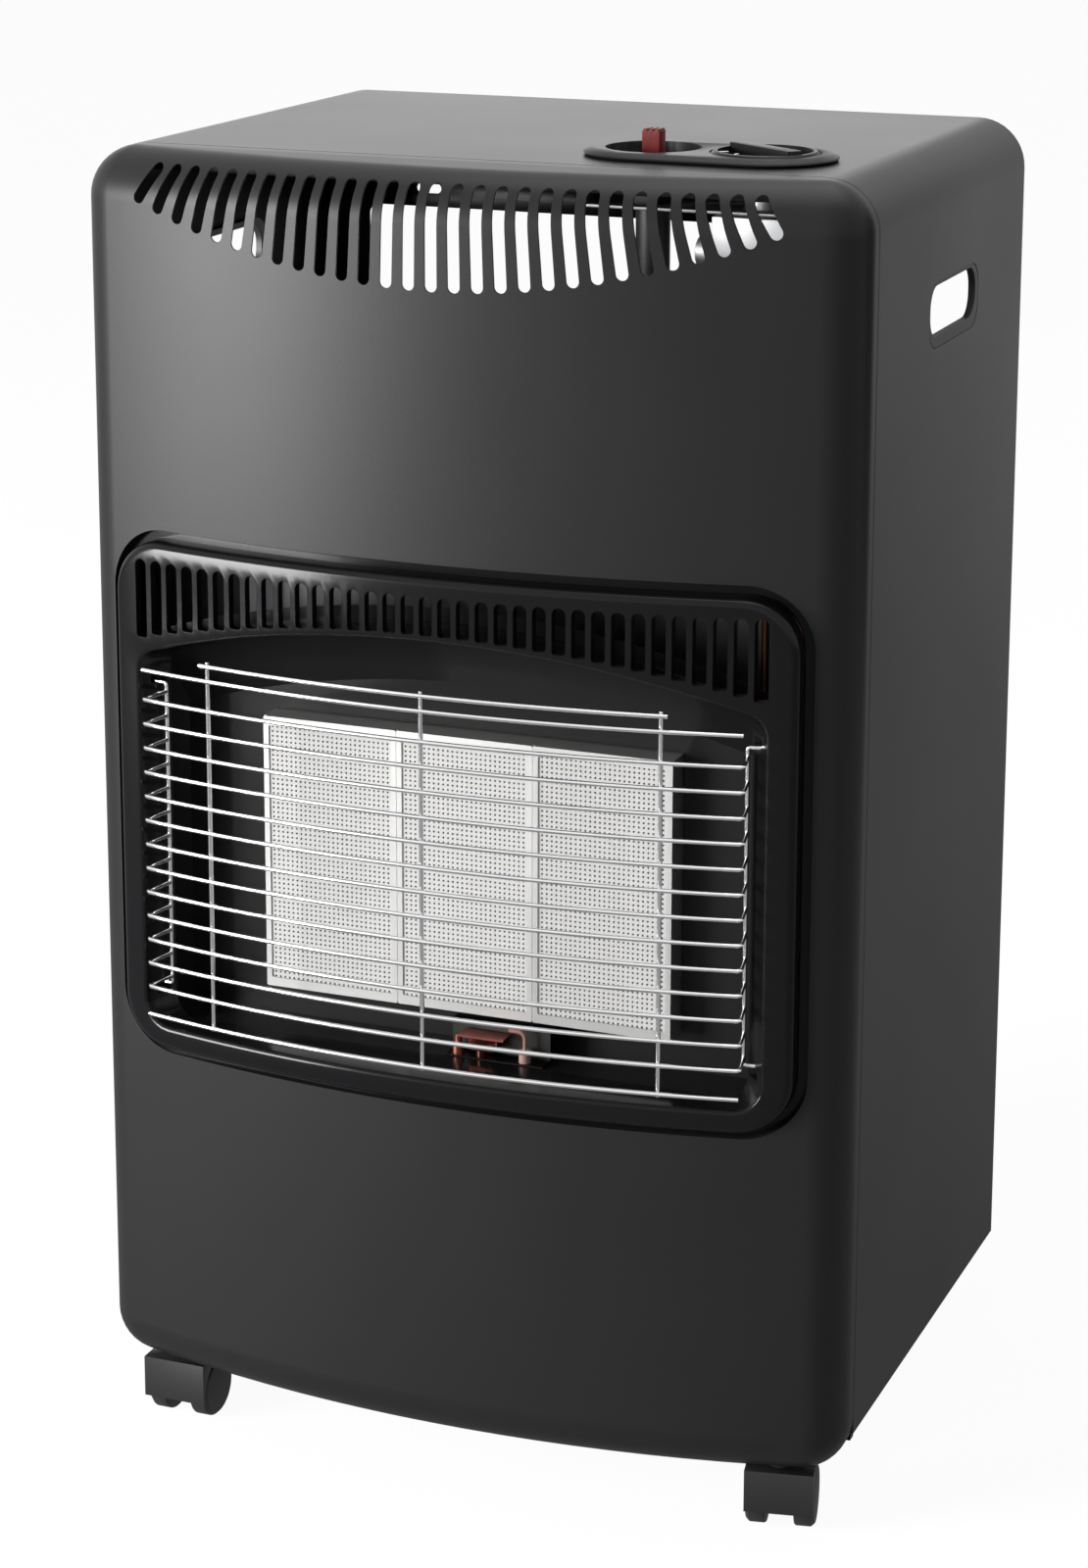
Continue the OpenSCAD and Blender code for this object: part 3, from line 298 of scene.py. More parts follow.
fire_and_shade, given, result = shader_group("fire_and_shade_tint", {"Reach": 0.2}, ("Mask",))
coords = add_node(fire_and_shade, "ShaderNodeTexCoord")
from_flame = add_node(fire_and_shade, "ShaderNodeVectorMath", operation="DISTANCE")
from_flame.inputs[1].default_value = FLAME
fire_and_shade.links.new(coords.outputs["Object"], from_flame.inputs[0])
away = math_node(fire_and_shade, "DIVIDE", from_flame.outputs["Value"], given.outputs["Reach"])
clear = add_node(fire_and_shade, "ShaderNodeClamp")
fire_and_shade.links.new(math_node(fire_and_shade, "SUBTRACT", FADE, away), clear.inputs[0])
fire_and_shade.links.new(clear.outputs[0], result.inputs["Mask"])
print("group", fire_and_shade.name)

# %% [markdown]
# ## Finishes
# One recipe makes them all: a colour that drifts a little, a roughness that drifts with it, and a
# relief. Near the flame a finish may turn to a burnt colour, which on bare steel is also painted shade.
# The inner faces of the cabinet's sheets carry the attribute "inside" and shine far less, as painted
# shade, because nothing bright is in there to reflect.
# Seventeen trees built by hand would be hard to keep alike. The colours are in linear light.


# %% Burnt colour and painted shade
def burn_and_shade_mixed(tree, colour_out, burn_and_shade_colour, reach):
    """Mixes a colour with a darker one near the flame: heat tint, and painted shade on bare steel."""
    burn_and_shade_mask = add_node(tree, "ShaderNodeGroup", node_tree=fire_and_shade)
    burn_and_shade_mask.inputs["Reach"].default_value = reach
    toned = add_node(tree, "ShaderNodeMix", data_type="RGBA")
    toned.inputs["B"].default_value = (*burn_and_shade_colour, 1)
    tree.links.new(burn_and_shade_mask.outputs["Mask"], toned.inputs["Factor"])
    tree.links.new(colour_out, toned.inputs["A"])
    return toned.outputs["Result"]


# %% Recipe for a finish
INSIDE_LOSS = 0.9
ROUGH_SWING = 0.05
finishes = {}


def finish(name, colour, roughness, metallic=0.0, peel=0.001, depth=0.00001, tone=0.12, lines=False,
           specular=0.5, burn_and_shade_colour=None, reach=0.16):
    """A material whose colour, roughness and relief vary by the shared groups."""
    material = bpy.data.materials.new(name)
    material.use_nodes = True
    tree = material.node_tree
    shader = tree.nodes["Principled BSDF"]
    shader.inputs["Metallic"].default_value = metallic
    shader.inputs["Specular IOR Level"].default_value = specular
    surface = add_node(tree, "ShaderNodeGroup", node_tree=brushed if lines else grain)
    surface.inputs["Pitch" if lines else "Size"].default_value = peel
    surface.inputs["Depth"].default_value = depth
    drift = add_node(tree, "ShaderNodeGroup", node_tree=grain) if lines else surface
    drift.inputs["Tone"].default_value = tone
    tinted = add_node(tree, "ShaderNodeVectorMath", operation="SCALE")
    tinted.inputs[0].default_value = colour
    tree.links.new(drift.outputs["Shade"], tinted.inputs["Scale"])
    colour_out = tinted.outputs[0]
    if burn_and_shade_colour:
        colour_out = burn_and_shade_mixed(tree, colour_out, burn_and_shade_colour, reach)
    tree.links.new(colour_out, shader.inputs["Base Color"])
    # Inner faces lose most of their shine: painted shade for the dark inside of the cabinet.
    inner = add_node(tree, "ShaderNodeAttribute", attribute_name="inside")
    tree.links.new(math_node(tree, "MULTIPLY_ADD", inner.outputs["Fac"], -INSIDE_LOSS * specular, specular),
                   shader.inputs["Specular IOR Level"])
    varied = math_node(tree, "SUBTRACT", drift.outputs["Shade"], 1.0)
    tree.links.new(math_node(tree, "MULTIPLY_ADD", varied, ROUGH_SWING / tone, roughness),
                   shader.inputs["Roughness"])
    relief = add_node(tree, "ShaderNodeBump", Strength=1.0, Distance=1.0)
    tree.links.new(surface.outputs["Height"], relief.inputs["Height"])
    tree.links.new(relief.outputs[0], shader.inputs["Normal"])
    finishes[name] = material


# %% Paints and plastics
finish("powder_coat", (0.011, 0.011, 0.0115), 0.40, peel=0.0012, depth=0.00003, specular=0.17)
finish("gloss_enamel", (0.005, 0.005, 0.0055), 0.17, peel=0.007, depth=0.00003, specular=0.16)
finish("recess_steel", (0.008, 0.008, 0.008), 0.30, peel=0.004, depth=0.00003, specular=0.25)
finish("black_plastic", (0.012, 0.012, 0.0125), 0.50, peel=0.0008, depth=0.00003)
finish("control_plastic", (0.009, 0.009, 0.0095), 0.42, peel=0.0008, specular=0.14)
finish("red_plastic", (0.12, 0.007, 0.005), 0.50, specular=0.2)
finish("caster_plastic", (0.010, 0.010, 0.0105), 0.48, peel=0.0008, depth=0.00003)
finish("wheel_plastic", (0.014, 0.014, 0.0145), 0.50, peel=0.0008, depth=0.00003)
finish("ceramic", (0.395, 0.392, 0.385), 0.92, peel=0.0006, depth=0.00008, specular=0.2)
finish("electrode_ceramic", (0.66, 0.64, 0.58), 0.25, peel=0.002, burn_and_shade_colour=(0.22, 0.09, 0.07), reach=0.12)
print(len(finishes), "finishes so far")

# %% Metals
# Near the fire the zinc turns near-black: painted shade for the dark inside of the cabinet, with some heat
# tint.
finish("zinc_steel", (0.40, 0.40, 0.42), 0.42, 1.0, peel=0.0006, lines=True,
       burn_and_shade_colour=(0.018, 0.017, 0.016), reach=0.2)
finish("burner_steel", (0.42, 0.418, 0.41), 0.48, 1.0, peel=0.0006, lines=True, tone=0.3)
finish("guard_wire", (0.82, 0.82, 0.83), 0.16, 1.0, peel=0.003, tone=0.05)
finish("cast_alloy", (0.52, 0.52, 0.53), 0.52, 1.0, peel=0.0009, depth=0.00006)
finish("brass", (0.72, 0.52, 0.24), 0.28, 1.0, peel=0.0005, lines=True)
finish("copper", (0.36, 0.18, 0.11), 0.38, 1.0, peel=0.002, depth=0.00002, tone=0.35,
       burn_and_shade_colour=(0.27, 0.085, 0.065), reach=0.12)
finish("axle_steel", (0.58, 0.58, 0.60), 0.30, 1.0, peel=0.0005, lines=True)
print(len(finishes), "finishes")

# %% [markdown]
# ## Clean copies of the solids
# A frame solid is loose triangles with hard shading, and it must stay as it is. A copy can have its
# doubles merged, its sharp edges eased a little and the rest shaded smooth, as bent sheet and moulded
# parts look. The copy then stands for the solid.

# %% Show a piece
slot_of = {part["node"]: part["material_slot"] for part in frame["record"]["subparts"]}
body_of = {node: obj["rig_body"] for node, obj in solids.items()}


def show_piece(name, mesh, slot_name, body, *nodes):
    """Links a finished mesh, gives it its finish and lets it stand for solids."""
    mesh.materials.clear()
    mesh.materials.append(finishes[slot_name])
    piece = bpy.data.objects.new(name, mesh)
    bpy.context.scene.collection.objects.link(piece)
    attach(piece, body)
    if nodes:
        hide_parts(*nodes)
    print(name, len(mesh.polygons), "faces")


# %% Merge a solid
MERGE = 3e-6
FLAT = math.radians(0.4)


def merged(node):
    """The solid's mesh with its triangles joined and flat areas made one face."""
    draft = bmesh.new()
    draft.from_mesh(solids[node].data)
    bmesh.ops.remove_doubles(draft, verts=draft.verts, dist=MERGE)
    bmesh.ops.dissolve_limit(draft, angle_limit=FLAT, verts=draft.verts, edges=draft.edges)
    mesh = bpy.data.meshes.new(node)
    draft.to_mesh(mesh)
    draft.free()
    return mesh


# %% Ease the edges
def with_modifier(mesh, kind, set_up):
    """The mesh after one modifier, which a function sets up."""
    carrier = bpy.data.objects.new("carrier", mesh)
    bpy.context.scene.collection.objects.link(carrier)
    set_up(carrier.modifiers.new("step", kind))
    ready = carrier.evaluated_get(bpy.context.evaluated_depsgraph_get())
    made = bpy.data.meshes.new_from_object(ready)
    bpy.data.objects.remove(carrier)
    return made


def eased(mesh, width, crease=32):
    """Rounds edges sharper than the crease by a small bevel and shades the rest smooth."""
    def set_bevel(bevel):
        bevel.width, bevel.segments = width, 2
        bevel.limit_method, bevel.angle_limit = "ANGLE", math.radians(crease)
        bevel.use_clamp_overlap = True
        bevel.harden_normals = True

    mesh.polygons.foreach_set("use_smooth", [True] * len(mesh.polygons))
    if width:
        return with_modifier(mesh, "BEVEL", set_bevel)
    mesh.set_sharp_from_angle(angle=math.radians(crease))
    return mesh


# %% [markdown]
# ## Measures
# The front is an arc about an upright axis far behind the cabinet, and its edges turn in with one
# large radius. All drawn pieces below follow these two facts, so a distance out from the face is
# measured along the radius of the arc.

# %% Measures of the cabinet
EDGE = 27 * MM
BOW_RISE = 32 * MM

shell_low, shell_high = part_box("cabinet_shell")
panel_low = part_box("front_panel")[0]
base, top, half_width, seam = shell_low[2], shell_high[2], shell_high[0], shell_low[1]
face, foot = panel_low[1], panel_low[2]
bow_radius = (half_width ** 2 + BOW_RISE ** 2) / (2 * BOW_RISE)
bow_centre = face + bow_radius


def bow(x, out=0.0):
    """The bowed surface's place from front to back, a distance out from the panel's face."""
    return bow_centre - math.sqrt((bow_radius + out) ** 2 - x * x)


print("cabinet", round(half_width * 2, 3), "m wide, its bow", round(bow_radius, 3), "m in radius")

# %% [markdown]
# ## Cabinet sheets
# The front and the wrap are pressed from one sheet each. Their solids are right in shape but faceted,
# and facets break up the long soft reflections. More facets would not cure that as well as the true
# normals of the drawn surface, which are worked out here from a core that lies one edge radius inside.
# A hair of bevel catches the light along the slots and the seam, as paint on a cut edge does.

# %% True normals
SAME_FACE = 0.96  # cosine above which a face belongs to the drawn surface


def true_normal(place, low):
    """Normal of the drawn sheet: away from a core that lies one edge radius inside."""
    near = Vector((place[0], place[1], min(max(place[2], low), top - EDGE)))
    reach = math.hypot(place[0], bow_centre - place[1])
    inner, side = bow_radius - EDGE, half_width - EDGE
    if abs(place[0] / reach * inner) <= side:
        if reach > inner:
            near.x = place[0] / reach * inner
            near.y = bow_centre - (bow_centre - place[1]) / reach * inner
    else:
        near.x = max(-side, min(side, place[0]))
        near.y = max(place[1], bow(side, -EDGE))
    return (place - near).normalized()


def drawn_normals(mesh, low):
    """Gives a drawn sheet its true normals, and marks the faces on its inner side."""
    normals = [Vector(corner.vector) for corner in mesh.corner_normals]
    inside = mesh.attributes.new("inside", "FLOAT", "FACE")
    for polygon in mesh.polygons:
        for corner in polygon.loop_indices:
            true = true_normal(mesh.vertices[mesh.loops[corner].vertex_index].co, low)
            agree = true.dot(polygon.normal)
            if abs(agree) > SAME_FACE:
                normals[corner] = true if agree > 0 else -true
                inside.data[polygon.index].value = 0.0 if agree > 0 else 1.0
    mesh.normals_split_custom_set(normals)


# %% Front panel and wrap
PAINTED_EDGE = 0.3 * MM
UNDER_FLOOR = -1.0

for node, low in (("front_panel", foot + EDGE), ("cabinet_shell", UNDER_FLOOR)):
    sheet = eased(merged(node), PAINTED_EDGE)
    drawn_normals(sheet, low)
    show_piece(node + "_sheet", sheet, slot_of[node], body_of[node], node)

# %% [markdown]
# ## Outlines
# The openings in the front are rounded rectangles and one arch. A curve object could draw them, but a
# list of points is easier to grow, bend and join. A ray from a centre finds matching points on any two
# outlines, so they can be joined by quads.

# %% Outlines in the front plane
CORNER_STEPS = 12


def arc(x, z, radius, start, end, steps):
    """Points on an arc in the front plane, its angles in degrees."""
    return [(x + radius * math.cos(math.radians(start + (end - start) * i / steps)),
             z + radius * math.sin(math.radians(start + (end - start) * i / steps)))
            for i in range(steps + 1)]


def round_frame(half, low, high, radius):
    """A rounded rectangle as a closed outline."""
    return (arc(half - radius, low + radius, radius, -90, 0, CORNER_STEPS)
            + arc(half - radius, high - radius, radius, 0, 90, CORNER_STEPS)
            + arc(radius - half, high - radius, radius, 90, 180, CORNER_STEPS)
            + arc(radius - half, low + radius, radius, 180, 270, CORNER_STEPS))


# %% Fire opening
FIRE_HALF, FIRE_FLOOR, FIRE_TOP = 175 * MM, 192 * MM, 428 * MM
CROWN = 540 * MM
FLOOR_ROUND, SHOULDER_ROUND = 14 * MM, 12 * MM
FLOOR_STEPS, SHOULDER_STEPS, CROWN_STEPS = 10, 8, 40


def fire_arch(grow, draw_in=0.0):
    """The arched fire opening, grown on every side and drawn in at its sides."""
    half, crown = FIRE_HALF + grow, CROWN + grow
    centre = base + FIRE_TOP - CROWN
    low_r, high_r = FLOOR_ROUND + grow, SHOULDER_ROUND + grow
    x = half - high_r
    z = centre + math.sqrt((crown - high_r) ** 2 - x * x)
    tilt = math.degrees(math.atan2(z - centre, x))
    floor_z = base + FIRE_FLOOR - grow + low_r
    outline = (arc(half - low_r, floor_z, low_r, -90, 0, FLOOR_STEPS)
               + arc(x, z, high_r, 0, tilt, SHOULDER_STEPS)
               + arc(0, centre, crown, tilt, 180 - tilt, CROWN_STEPS)
               + arc(-x, z, high_r, 180 - tilt, 180, SHOULDER_STEPS)
               + arc(low_r - half, floor_z, low_r, 180, 270, FLOOR_STEPS))
    return [(x * (half - draw_in) / half, z) for x, z in outline]


print("fire opening", round(2 * FIRE_HALF, 3), "m wide")

# %% Ray from a centre
PARALLEL = 1e-12
HAIR = 1e-9


def cast(outline, centre, angle):
    """Where a ray from the centre leaves a closed outline."""
    dx, dz = math.cos(angle), math.sin(angle)
    best = 0.0
    for (x0, z0), (x1, z1) in zip(outline, outline[1:] + outline[:1]):
        ex, ez = x1 - x0, z1 - z0
        cross = dx * ez - dz * ex
        if abs(cross) < PARALLEL:
            continue
        ox, oz = x0 - centre[0], z0 - centre[1]
        along = (ox * ez - oz * ex) / cross
        share = (ox * dz - oz * dx) / cross
        if along > 0 and -HAIR <= share <= 1 + HAIR:
            best = max(best, along)
    return centre[0] + dx * best, centre[1] + dz * best


# %% [markdown]
# ## Burner surround
# A moulded frame of gloss black round the fire. Its outer edge is round, and its inner wall slopes in
# to the fire opening. It could be bent by a modifier, but every outline here is laid on the bow point
# by point, so that it fits the front exactly. Closed loops of points follow its cross-section.

# %% Cross-section of the surround
frame_half = 190.5 * MM
frame_low, frame_high = base + 179.1 * MM, base + 460.9 * MM
FRAME_CORNER = 28.5 * MM
hub = (0.0, base + 310 * MM)
collar = seam - 32 * MM
wall, slab = 1.8 * MM, 5.5 * MM
proud = 8.7 * MM
ROUND, LIP = 4 * MM, 2.5 * MM
ROUND_STEPS, LIP_STEPS = 5, 4
INNER_CHAMFER, OUTER_CHAMFER = 3 * MM, 1 * MM
SLOPE = 11 * MM


def frame_line(inset):
    """The surround's outer outline, drawn in by an inset."""
    return round_frame(frame_half - inset, frame_low + inset, frame_high - inset, FRAME_CORNER - inset)


def surround_section():
    """Outlines and how far each stands out of the face; None is the depth of the collar."""
    section = [(frame_line(0), None)]
    for step in range(ROUND_STEPS + 1):
        swing = math.radians(90 * step / ROUND_STEPS)
        section.append((frame_line(ROUND * (1 - math.cos(swing))), proud - ROUND * (1 - math.sin(swing))))
    for step in range(LIP_STEPS + 1):
        swing = math.radians(90 * step / LIP_STEPS)
        section.append((fire_arch(LIP * (1 - math.sin(swing))), proud - LIP * (1 - math.cos(swing))))
    return section + [(fire_arch(0, SLOPE), None), (fire_arch(wall, SLOPE - wall), None),
                      (fire_arch(wall), proud - slab - INNER_CHAMFER), (fire_arch(ROUND), proud - slab),
                      (frame_line(ROUND), proud - slab),
                      (frame_line(wall), proud - slab - OUTER_CHAMFER), (frame_line(wall), None)]


print("surround", round(2 * frame_half, 3), "m wide,", len(surround_section()), "outlines")

# %% Helpers for closed shapes
POINT_PITCH = 4 * MM

angles = []
rim_line = frame_line(0)
for (x0, z0), (x1, z1) in zip(rim_line, rim_line[1:] + rim_line[:1]):
    pieces = max(1, round(math.hypot(x1 - x0, z1 - z0) / POINT_PITCH))
    angles += [math.atan2(z0 + (z1 - z0) * i / pieces - hub[1], x0 + (x1 - x0) * i / pieces - hub[0])
               for i in range(pieces)]


def bowed_loop(outline, out):
    """The outline's points at all angles round the hub, on the bow or at the collar's depth."""
    points = [cast(outline, hub, angle) for angle in angles]
    return [Vector((x, collar if out is None else bow(x, out), z)) for x, z in points]


def skin_loops(draft, loops):
    """Joins closed loops of points by quads into a closed ring."""
    rows = [[draft.verts.new(point) for point in loop] for loop in loops]
    for row, after in zip(rows, rows[1:] + rows[:1]):
        for i in range(len(row)):
            j = (i + 1) % len(row)
            draft.faces.new((row[i], row[j], after[j], after[i]))


def as_mesh(draft, name):
    """Finishes a draft: outward normals, then a mesh."""
    bmesh.ops.recalc_face_normals(draft, faces=draft.faces)
    mesh = bpy.data.meshes.new(name)
    draft.to_mesh(mesh)
    draft.free()
    return mesh


print(len(angles), "points round each outline")

# %% Surround and its flange
FLANGE_REACH, FLANGE_LAP = -13 * MM, 1 * MM
FLANGE_FRONT, FLANGE_BACK = -6.1 * MM, -7.6 * MM

draft = bmesh.new()
skin_loops(draft, [bowed_loop(outline, out) for outline, out in surround_section()])
skin_loops(draft, [bowed_loop(frame_line(inset), out) for inset, out in (
    (FLANGE_REACH, FLANGE_FRONT), (FLANGE_LAP, FLANGE_FRONT),
    (FLANGE_LAP, FLANGE_BACK), (FLANGE_REACH, FLANGE_BACK))])
surround = as_mesh(draft, "surround")
print("surround", len(surround.vertices), "points")

# %% [markdown]
# ## Slots of the surround
# Warm air leaves by a row of upright slots, and the guard hooks into four holes of the inner wall. A
# die would cut them all at once, and one Boolean modifier does the same here: every cutter is a closed
# block in one mesh. The slots reach down further towards the sides, as the fire opening's arch does.


# %% Helpers for cutting
def slot_outline(x, low, high, width, top_steps=8, toe_steps=3):
    """Upright slot with a round top and a flat foot."""
    half, toe = width / 2, width / 5
    return (arc(x, high - half, half, 0, 180, top_steps)
            + arc(x - half + toe, low + toe, toe, 180, 270, toe_steps)
            + arc(x + half - toe, low + toe, toe, 270, 360, toe_steps))


def prism(draft, outline, front, behind):
    """A closed block with the outline, from one depth to another."""
    ends = [[draft.verts.new((x, y, z)) for x, z in outline] for y in (front, behind)]
    count = len(outline)
    draft.faces.new(ends[0])
    draft.faces.new(list(reversed(ends[1])))
    for i in range(count):
        j = (i + 1) % count
        draft.faces.new((ends[0][j], ends[0][i], ends[1][i], ends[1][j]))


def carved(mesh, cutter):
    """The mesh with the cutter's volume taken away."""
    tool = bpy.data.objects.new("tool", cutter)
    bpy.context.scene.collection.objects.link(tool)

    def set_cut(cut):
        cut.operation, cut.solver, cut.object = "DIFFERENCE", "EXACT", tool

    left = with_modifier(mesh, "BOOLEAN", set_cut)
    bpy.data.objects.remove(tool)
    return left


# %% Cut the slots and the hook holes
SLOTS_A_SIDE, SLOT_PITCH, SLOT_WIDTH = 17, 10.16, 7.2 * MM
SLOT_FOOT, SLOT_TOP, FOOT_FALL = 431 * MM, 451.6 * MM, 22 * MM
CUT_START = 0.03
HOLE_X, HOLE_ROWS = 168 * MM, (210 * MM, 385 * MM)
HOLE_HALF_WIDE, HOLE_HALF_TALL = 12 * MM, 3 * MM
HOLE_BACK, HOLE_FRONT = 8 * MM, 1 * MM
MOULDED_EDGE, MOULDED_CREASE = 0.35 * MM, 40

draft = bmesh.new()
for i in range(-SLOTS_A_SIDE, SLOTS_A_SIDE + 1):
    low = base + SLOT_FOOT - FOOT_FALL * (i / SLOTS_A_SIDE) ** 2
    prism(draft, slot_outline(i * SLOT_PITCH * MM, low, base + SLOT_TOP, SLOT_WIDTH), face - CUT_START, seam)
for x in (-HOLE_X, HOLE_X):
    for z in (base + row for row in HOLE_ROWS):
        corners = [(x + right * HOLE_HALF_WIDE, z + up * HOLE_HALF_TALL)
                   for right, up in ((-1, -1), (1, -1), (1, 1), (-1, 1))]
        prism(draft, corners, collar - HOLE_BACK, collar - HOLE_FRONT)
surround = eased(carved(surround, as_mesh(draft, "slots")), MOULDED_EDGE, MOULDED_CREASE)
show_piece("surround_moulding", surround, slot_of["burner_surround"], body_of["burner_surround"],
           "burner_surround")

# %% [markdown]
# ## Wire guard
# Chromed steel wire of 2.4 mm. Each bar follows the bow, turns back at both ends and is welded to an
# upright there. A curve with a bevel would give round wire too; here a node tree sweeps a circle along
# every path at once, and its radius and number of sides stay open as inputs.


# %% Helpers for node trees
def node_modifier(mesh, tree, **values):
    """The mesh after a geometry node tree, with its named inputs set."""
    def set_steps(steps):
        steps.node_group = tree
        for item in tree.interface.items_tree:
            if item.item_type == "SOCKET" and item.in_out == "INPUT" and item.name in values:
                steps[item.identifier] = values[item.name]

    return with_modifier(mesh, "NODES", set_steps)


def geometry_tree(name, inputs):
    """An empty geometry tree with its geometry and further inputs {name: (type, value)}."""
    tree = bpy.data.node_groups.new(name, "GeometryNodeTree")
    tree.interface.new_socket("Geometry", in_out="INPUT", socket_type="NodeSocketGeometry")
    for key, (kind, value) in inputs.items():
        socket = tree.interface.new_socket(key, in_out="INPUT", socket_type=kind)
        if value is not None:
            socket.default_value = value
    tree.interface.new_socket("Geometry", in_out="OUTPUT", socket_type="NodeSocketGeometry")
    return tree, tree.nodes.new("NodeGroupInput"), tree.nodes.new("NodeGroupOutput")


def close_tree(tree, shape, given, output):
    """Ends a tree with Realize Instances and Set Material."""
    real = tree.nodes.new("GeometryNodeRealizeInstances")
    painted = tree.nodes.new("GeometryNodeSetMaterial")
    tree.links.new(shape, real.inputs[0])
    tree.links.new(real.outputs[0], painted.inputs["Geometry"])
    tree.links.new(given.outputs["Finish"], painted.inputs["Material"])
    tree.links.new(painted.outputs[0], output.inputs[0])


# %% Node tree for wire
wire_tree, given, output = geometry_tree(
    "swept_wire", {"Radius": ("NodeSocketFloat", 0.0012), "Sides": ("NodeSocketInt", 12),
                   "Finish": ("NodeSocketMaterial", None)})
path = wire_tree.nodes.new("GeometryNodeMeshToCurve")
ring = wire_tree.nodes.new("GeometryNodeCurvePrimitiveCircle")
sweep = wire_tree.nodes.new("GeometryNodeCurveToMesh")
sweep.inputs["Fill Caps"].default_value = True
wire_tree.links.new(given.outputs["Geometry"], path.inputs["Mesh"])
wire_tree.links.new(given.outputs["Radius"], ring.inputs["Radius"])
wire_tree.links.new(given.outputs["Sides"], ring.inputs["Resolution"])
wire_tree.links.new(path.outputs[0], sweep.inputs["Curve"])
wire_tree.links.new(ring.outputs[0], sweep.inputs["Profile Curve"])
close_tree(wire_tree, sweep.outputs[0], given, output)
print("tree", wire_tree.name, len(wire_tree.nodes), "nodes")


# %% Paths for the wires
BAR_STEPS = 20
LONGEST_CUT = 2.2


def path_mesh(paths):
    """Open paths of points as a mesh of edges."""
    places, edges = [], []
    for points in paths:
        start = len(places)
        places += [tuple(point) for point in points]
        edges += [(start + i, start + i + 1) for i in range(len(points) - 1)]
    mesh = bpy.data.meshes.new("paths")
    mesh.from_pydata(places, edges, [])
    return mesh


def rounded_path(points, radius, steps=4):
    """Rounds the corners of a path."""
    out = [Vector(points[0])]
    for before, here, after in zip(points, points[1:], points[2:]):
        before, here, after = Vector(before), Vector(here), Vector(after)
        to_back, to_front = (before - here), (after - here)
        cut = min(radius, to_back.length / LONGEST_CUT, to_front.length / LONGEST_CUT)
        start, end = here + to_back.normalized() * cut, here + to_front.normalized() * cut
        for i in range(steps + 1):
            t = i / steps
            out.append(start * (1 - t) ** 2 + here * (2 * t * (1 - t)) + end * t * t)
    return out + [Vector(points[-1])]


def bowed_bar(half, height, out):
    """Points of a bar along the bow."""
    return [Vector((x, bow(x, out), height)) for x in
            [half * (i / BAR_STEPS - 1) for i in range(2 * BAR_STEPS + 1)]]


# %% Bars of the guard
WIRE_RADIUS = 1.2 * MM
ROW_FOOT, ROW_PITCH, ROW_COUNT = 217.5, 13.35, 13
BEND = 1.5 * MM
guard_out = 18.6 * MM - WIRE_RADIUS
guard_half = 167.3 * MM
side_x, side_y = 163.4 * MM, collar - 6 * MM
corner_y = bow(guard_half, guard_out)
rows = [base + (ROW_FOOT + ROW_PITCH * i) * MM for i in range(ROW_COUNT)]

wires = []
for height in rows:
    bar = bowed_bar(guard_half - BEND, height, guard_out)
    ends = [[Vector((s * side_x, side_y, height)),
             Vector((s * guard_half, corner_y + WIRE_RADIUS, height))] for s in (-1, 1)]
    wires.append(ends[0] + bar + list(reversed(ends[1])))
print(len(wires), "bars")

# %% Rails, uprights and hooks
RAILS, CAP_HALF, CAP = (202 * MM, 394 * MM), 130 * MM, 402 * MM
UPRIGHTS, UPRIGHT_LOW, UPRIGHT_HIGH = (-126 * MM, 0.0, 126 * MM), 200 * MM, 404 * MM
WELD = 0.3 * MM
HOOK_TIP, HOOK_LEAN = 177 * MM, 2 * MM
WIRE_SIDES, WIRE_CREASE = 12, 50
hook_low, hook_high = rows[0] - 4 * MM, rows[-1] + 5 * MM

for rail in RAILS:
    wires.append(bowed_bar(guard_half, base + rail, guard_out))
wires.append(bowed_bar(CAP_HALF, base + CAP, guard_out))
for x in UPRIGHTS:
    y = bow(x, guard_out - 2 * WIRE_RADIUS + WELD)
    wires.append([Vector((x, y, base + UPRIGHT_LOW)), Vector((x, y, base + UPRIGHT_HIGH))])
for s in (-1, 1):
    tip_y = side_y + HOOK_LEAN
    wires.append(rounded_path([(s * HOOK_TIP, tip_y, hook_low), (s * side_x, side_y, hook_low),
                               (s * side_x, side_y, hook_high), (s * HOOK_TIP, tip_y, hook_high)], BEND))
guard = node_modifier(path_mesh(wires), wire_tree, Radius=WIRE_RADIUS, Sides=WIRE_SIDES,
                      Finish=finishes["guard_wire"])
guard.polygons.foreach_set("use_smooth", [True] * len(guard.polygons))
guard.set_sharp_from_angle(angle=math.radians(WIRE_CREASE))
show_piece("guard_wires", guard, slot_of["guard"], body_of["guard"], "guard")

# %% [markdown]
# ## Ceramic plates
# Pressed honeycomb ceramic: a close grid of fine holes through which the gas burns. A bump texture
# could only suggest them, and here they are seen from near. So one cell with its hole is modelled, and
# a node tree repeats it over the front of the plate; a box without a front face gives the other sides.

